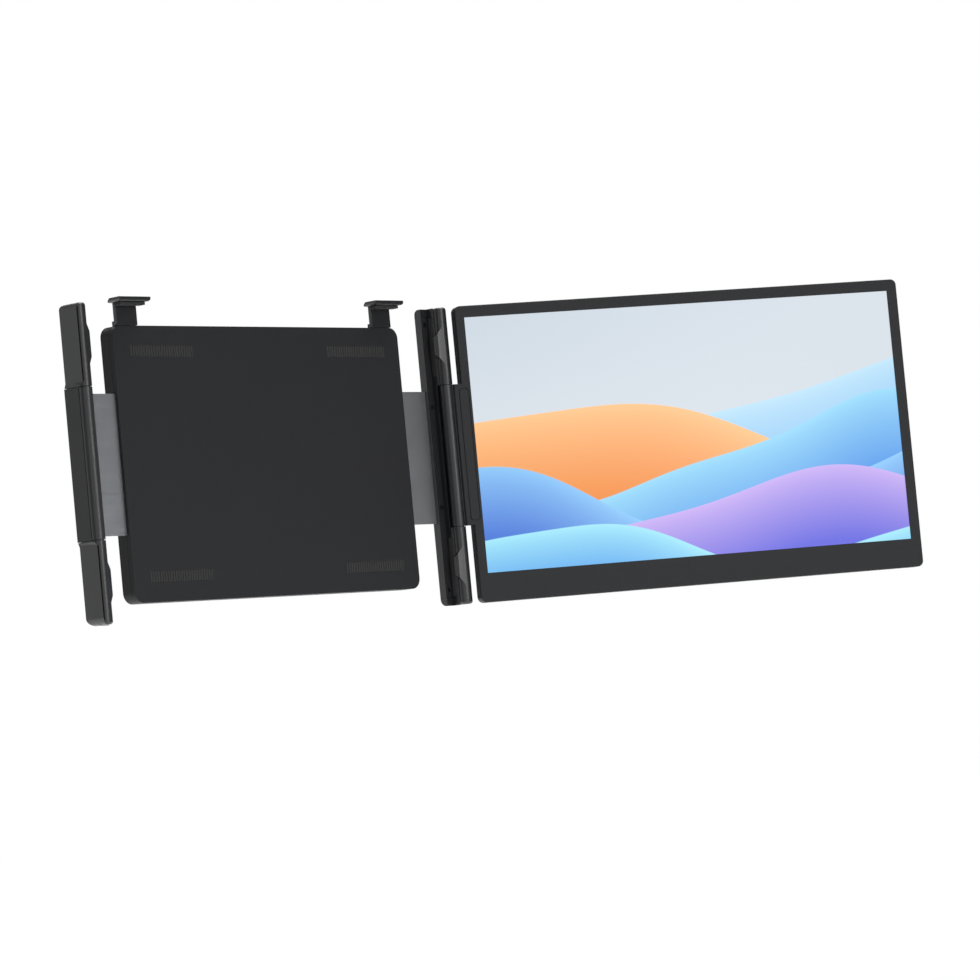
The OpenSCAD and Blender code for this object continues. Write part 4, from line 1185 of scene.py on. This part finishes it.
@dataclass(frozen=True)
class Studio:
    """Camera, softboxes, pale floor and white surroundings.

    Attributes:
        eye: the camera's place.
        right: the picture's own right.
        up: the picture's own up.
        lens: focal length.
        sensor: width of the camera's sensor.
        floor_z: height of the floor.
        floor_size_m: width of the floor.
        floor_colour: the floor's sRGB colour.
        floor_glow: how much paler the floor shows than it is lit.
        room_from: sines of the slopes between which the room grows paler.
        room_levels: the room's levels below and above.
        lamps: the softboxes.
    """

    eye: tuple[float, float, float] = (-2239.0, -2277.5, -223.8)
    right: tuple[float, float, float] = (0.679102, -0.728108, -0.093168)
    up: tuple[float, float, float] = (0.020228, -0.108313, 0.993911)
    lens: float = 162.3
    sensor: float = 36.0
    floor_z: float = -300.0
    floor_size_m: float = 3.0
    floor_colour: str = "#d8d8d8"
    floor_glow: float = 0.72
    room_from: tuple[float, float] = (0.1, 0.9)
    room_levels: tuple[float, float] = (0.06, 0.9)
    lamps: tuple[Lamp, ...] = (
        Lamp("front_strip", (0.0, -2.6, 0.3), (0.1, -0.02, 0.0), (0.45, 1.8), 27.0),
        Lamp("front_fill", (-1.0, -2.5, 0.3), (0.1, -0.02, 0.0), (0.8, 1.6), 7.0),
        Lamp("left_front_fill", (-2.2, -1.4, 0.2), (-0.1, 0.0, 0.0), (1.6, 1.6), 9.0),
        Lamp("overhead", (0.8, -0.3, 2.4), (0.3, 0.0, 0.0), (1.4, 1.4), 80.0),
        Lamp("side_fill", (-2.2, 2.0, 0.5), (-0.1, 0.0, 0.0), (1.2, 1.6), 9.0),
        Lamp("back_fill", (1.4, 1.8, 2.4), (0.1, 0.0, 0.0), (1.6, 1.2), 30.0))

    def build(self) -> None:
        """Sets up the camera, the softboxes, the floor and the world."""
        self.camera()
        for lamp in self.lamps:
            lamp.build()
        self.floor()
        self.world()
        bpy.context.scene.view_settings.view_transform = "Standard"

    def camera(self) -> None:
        """Places the camera."""
        data = bpy.data.cameras.new("camera")
        data.sensor_width, data.lens, data.clip_end = self.sensor, self.lens, 100
        camera = bpy.data.objects.new("camera", data)
        right, up = Vector(self.right), Vector(self.up)
        turn = Matrix((right, up, right.cross(up))).transposed().to_4x4()
        camera.matrix_world = Matrix.Translation(Vector(self.eye) * MM) @ turn
        bpy.context.scene.collection.objects.link(camera)
        bpy.context.scene.camera = camera

    def floor(self) -> None:
        """Lays the pale floor, which shows white and keeps the object's shadow."""
        half, z = self.floor_size_m / 2, self.floor_z * MM
        mesh = bpy.data.meshes.new("floor")
        corners = [(x * half, y * half, z) for x, y in ((-1, -1), (1, -1), (1, 1), (-1, 1))]
        mesh.from_pydata(corners, [], [(0, 1, 2, 3)])
        floor = linked("floor", mesh)
        material = bpy.data.materials.new("floor_white_vinyl")
        material.use_nodes = True
        tree = material.node_tree
        tree.nodes.clear()
        ray = add(tree, "ShaderNodeLightPath").outputs
        direct = add(tree, "ShaderNodeMath", (ray["Is Camera Ray"], ray["Is Glossy Ray"]),
                     operation="ADD").outputs[0]
        seen = add(tree, "ShaderNodeMath", (direct, ray["Is Transmission Ray"]),
                   operation="ADD", use_clamp=True).outputs[0]
        matt = add(tree, "ShaderNodeBsdfDiffuse", {
            "Color": linear(self.floor_colour)}).outputs[0]
        glow = add(tree, "ShaderNodeEmission", {
            "Color": WHITE, "Strength": self.floor_glow}).outputs[0]
        both = add(tree, "ShaderNodeAddShader", (matt, glow)).outputs[0]
        shown = add(tree, "ShaderNodeMixShader", (seen, matt, both)).outputs[0]
        add(tree, "ShaderNodeOutputMaterial", {"Surface": shown})
        mesh.materials.append(material)

    def world(self) -> None:
        """Gives white surroundings to the camera and a soft grey room to the light."""
        world = bpy.data.worlds.new("studio")
        bpy.context.scene.world = world
        world.use_nodes = True
        tree = world.node_tree
        tree.nodes.clear()
        ray = add(tree, "ShaderNodeLightPath").outputs
        seen = add(tree, "ShaderNodeMath", (ray["Is Camera Ray"], ray["Is Transmission Ray"]),
                   operation="ADD", use_clamp=True).outputs[0]
        way = add(tree, "ShaderNodeTexCoord").outputs["Generated"]
        height = add(tree, "ShaderNodeSeparateXYZ", (way,)).outputs[2]
        limits = zip(("From Min", "From Max", "To Min", "To Max"),
                     (*self.room_from, *self.room_levels))
        level = add(tree, "ShaderNodeMapRange", {"Value": height, **dict(limits)}).outputs[0]
        room, white = (
            add(tree, "ShaderNodeBackground", {"Color": WHITE, "Strength": strength}).outputs[0]
            for strength in (level, 1.0))
        shown = add(tree, "ShaderNodeMixShader", (seen, room, white)).outputs[0]
        add(tree, "ShaderNodeOutputWorld", {"Surface": shown})


def main() -> None:
    """Builds the studio and the sub-assemblies in order."""
    logging.basicConfig(level=logging.INFO, format="%(name)s: %(message)s")
    Studio().build()
    screw, rib, contact = screw_tree(), rib_tree(), contact_tree()
    back, screen, leaf = BackFrame(), Screen(), LeftLeaf()
    back.build(screw, rib)
    screen.build(screw, contact)
    leaf.build()
    rails = [Rail(side=side) for side in ("left", "right")]
    hooks = [Hook(side=side) for side in ("left", "right")]
    for rail in rails:
        rail.build(screw)
    for hook in hooks:
        hook.build()
    for assembly in (back, screen, leaf, *rails, *hooks):
        assembly.dress()


if __name__ == "__main__":
    main()
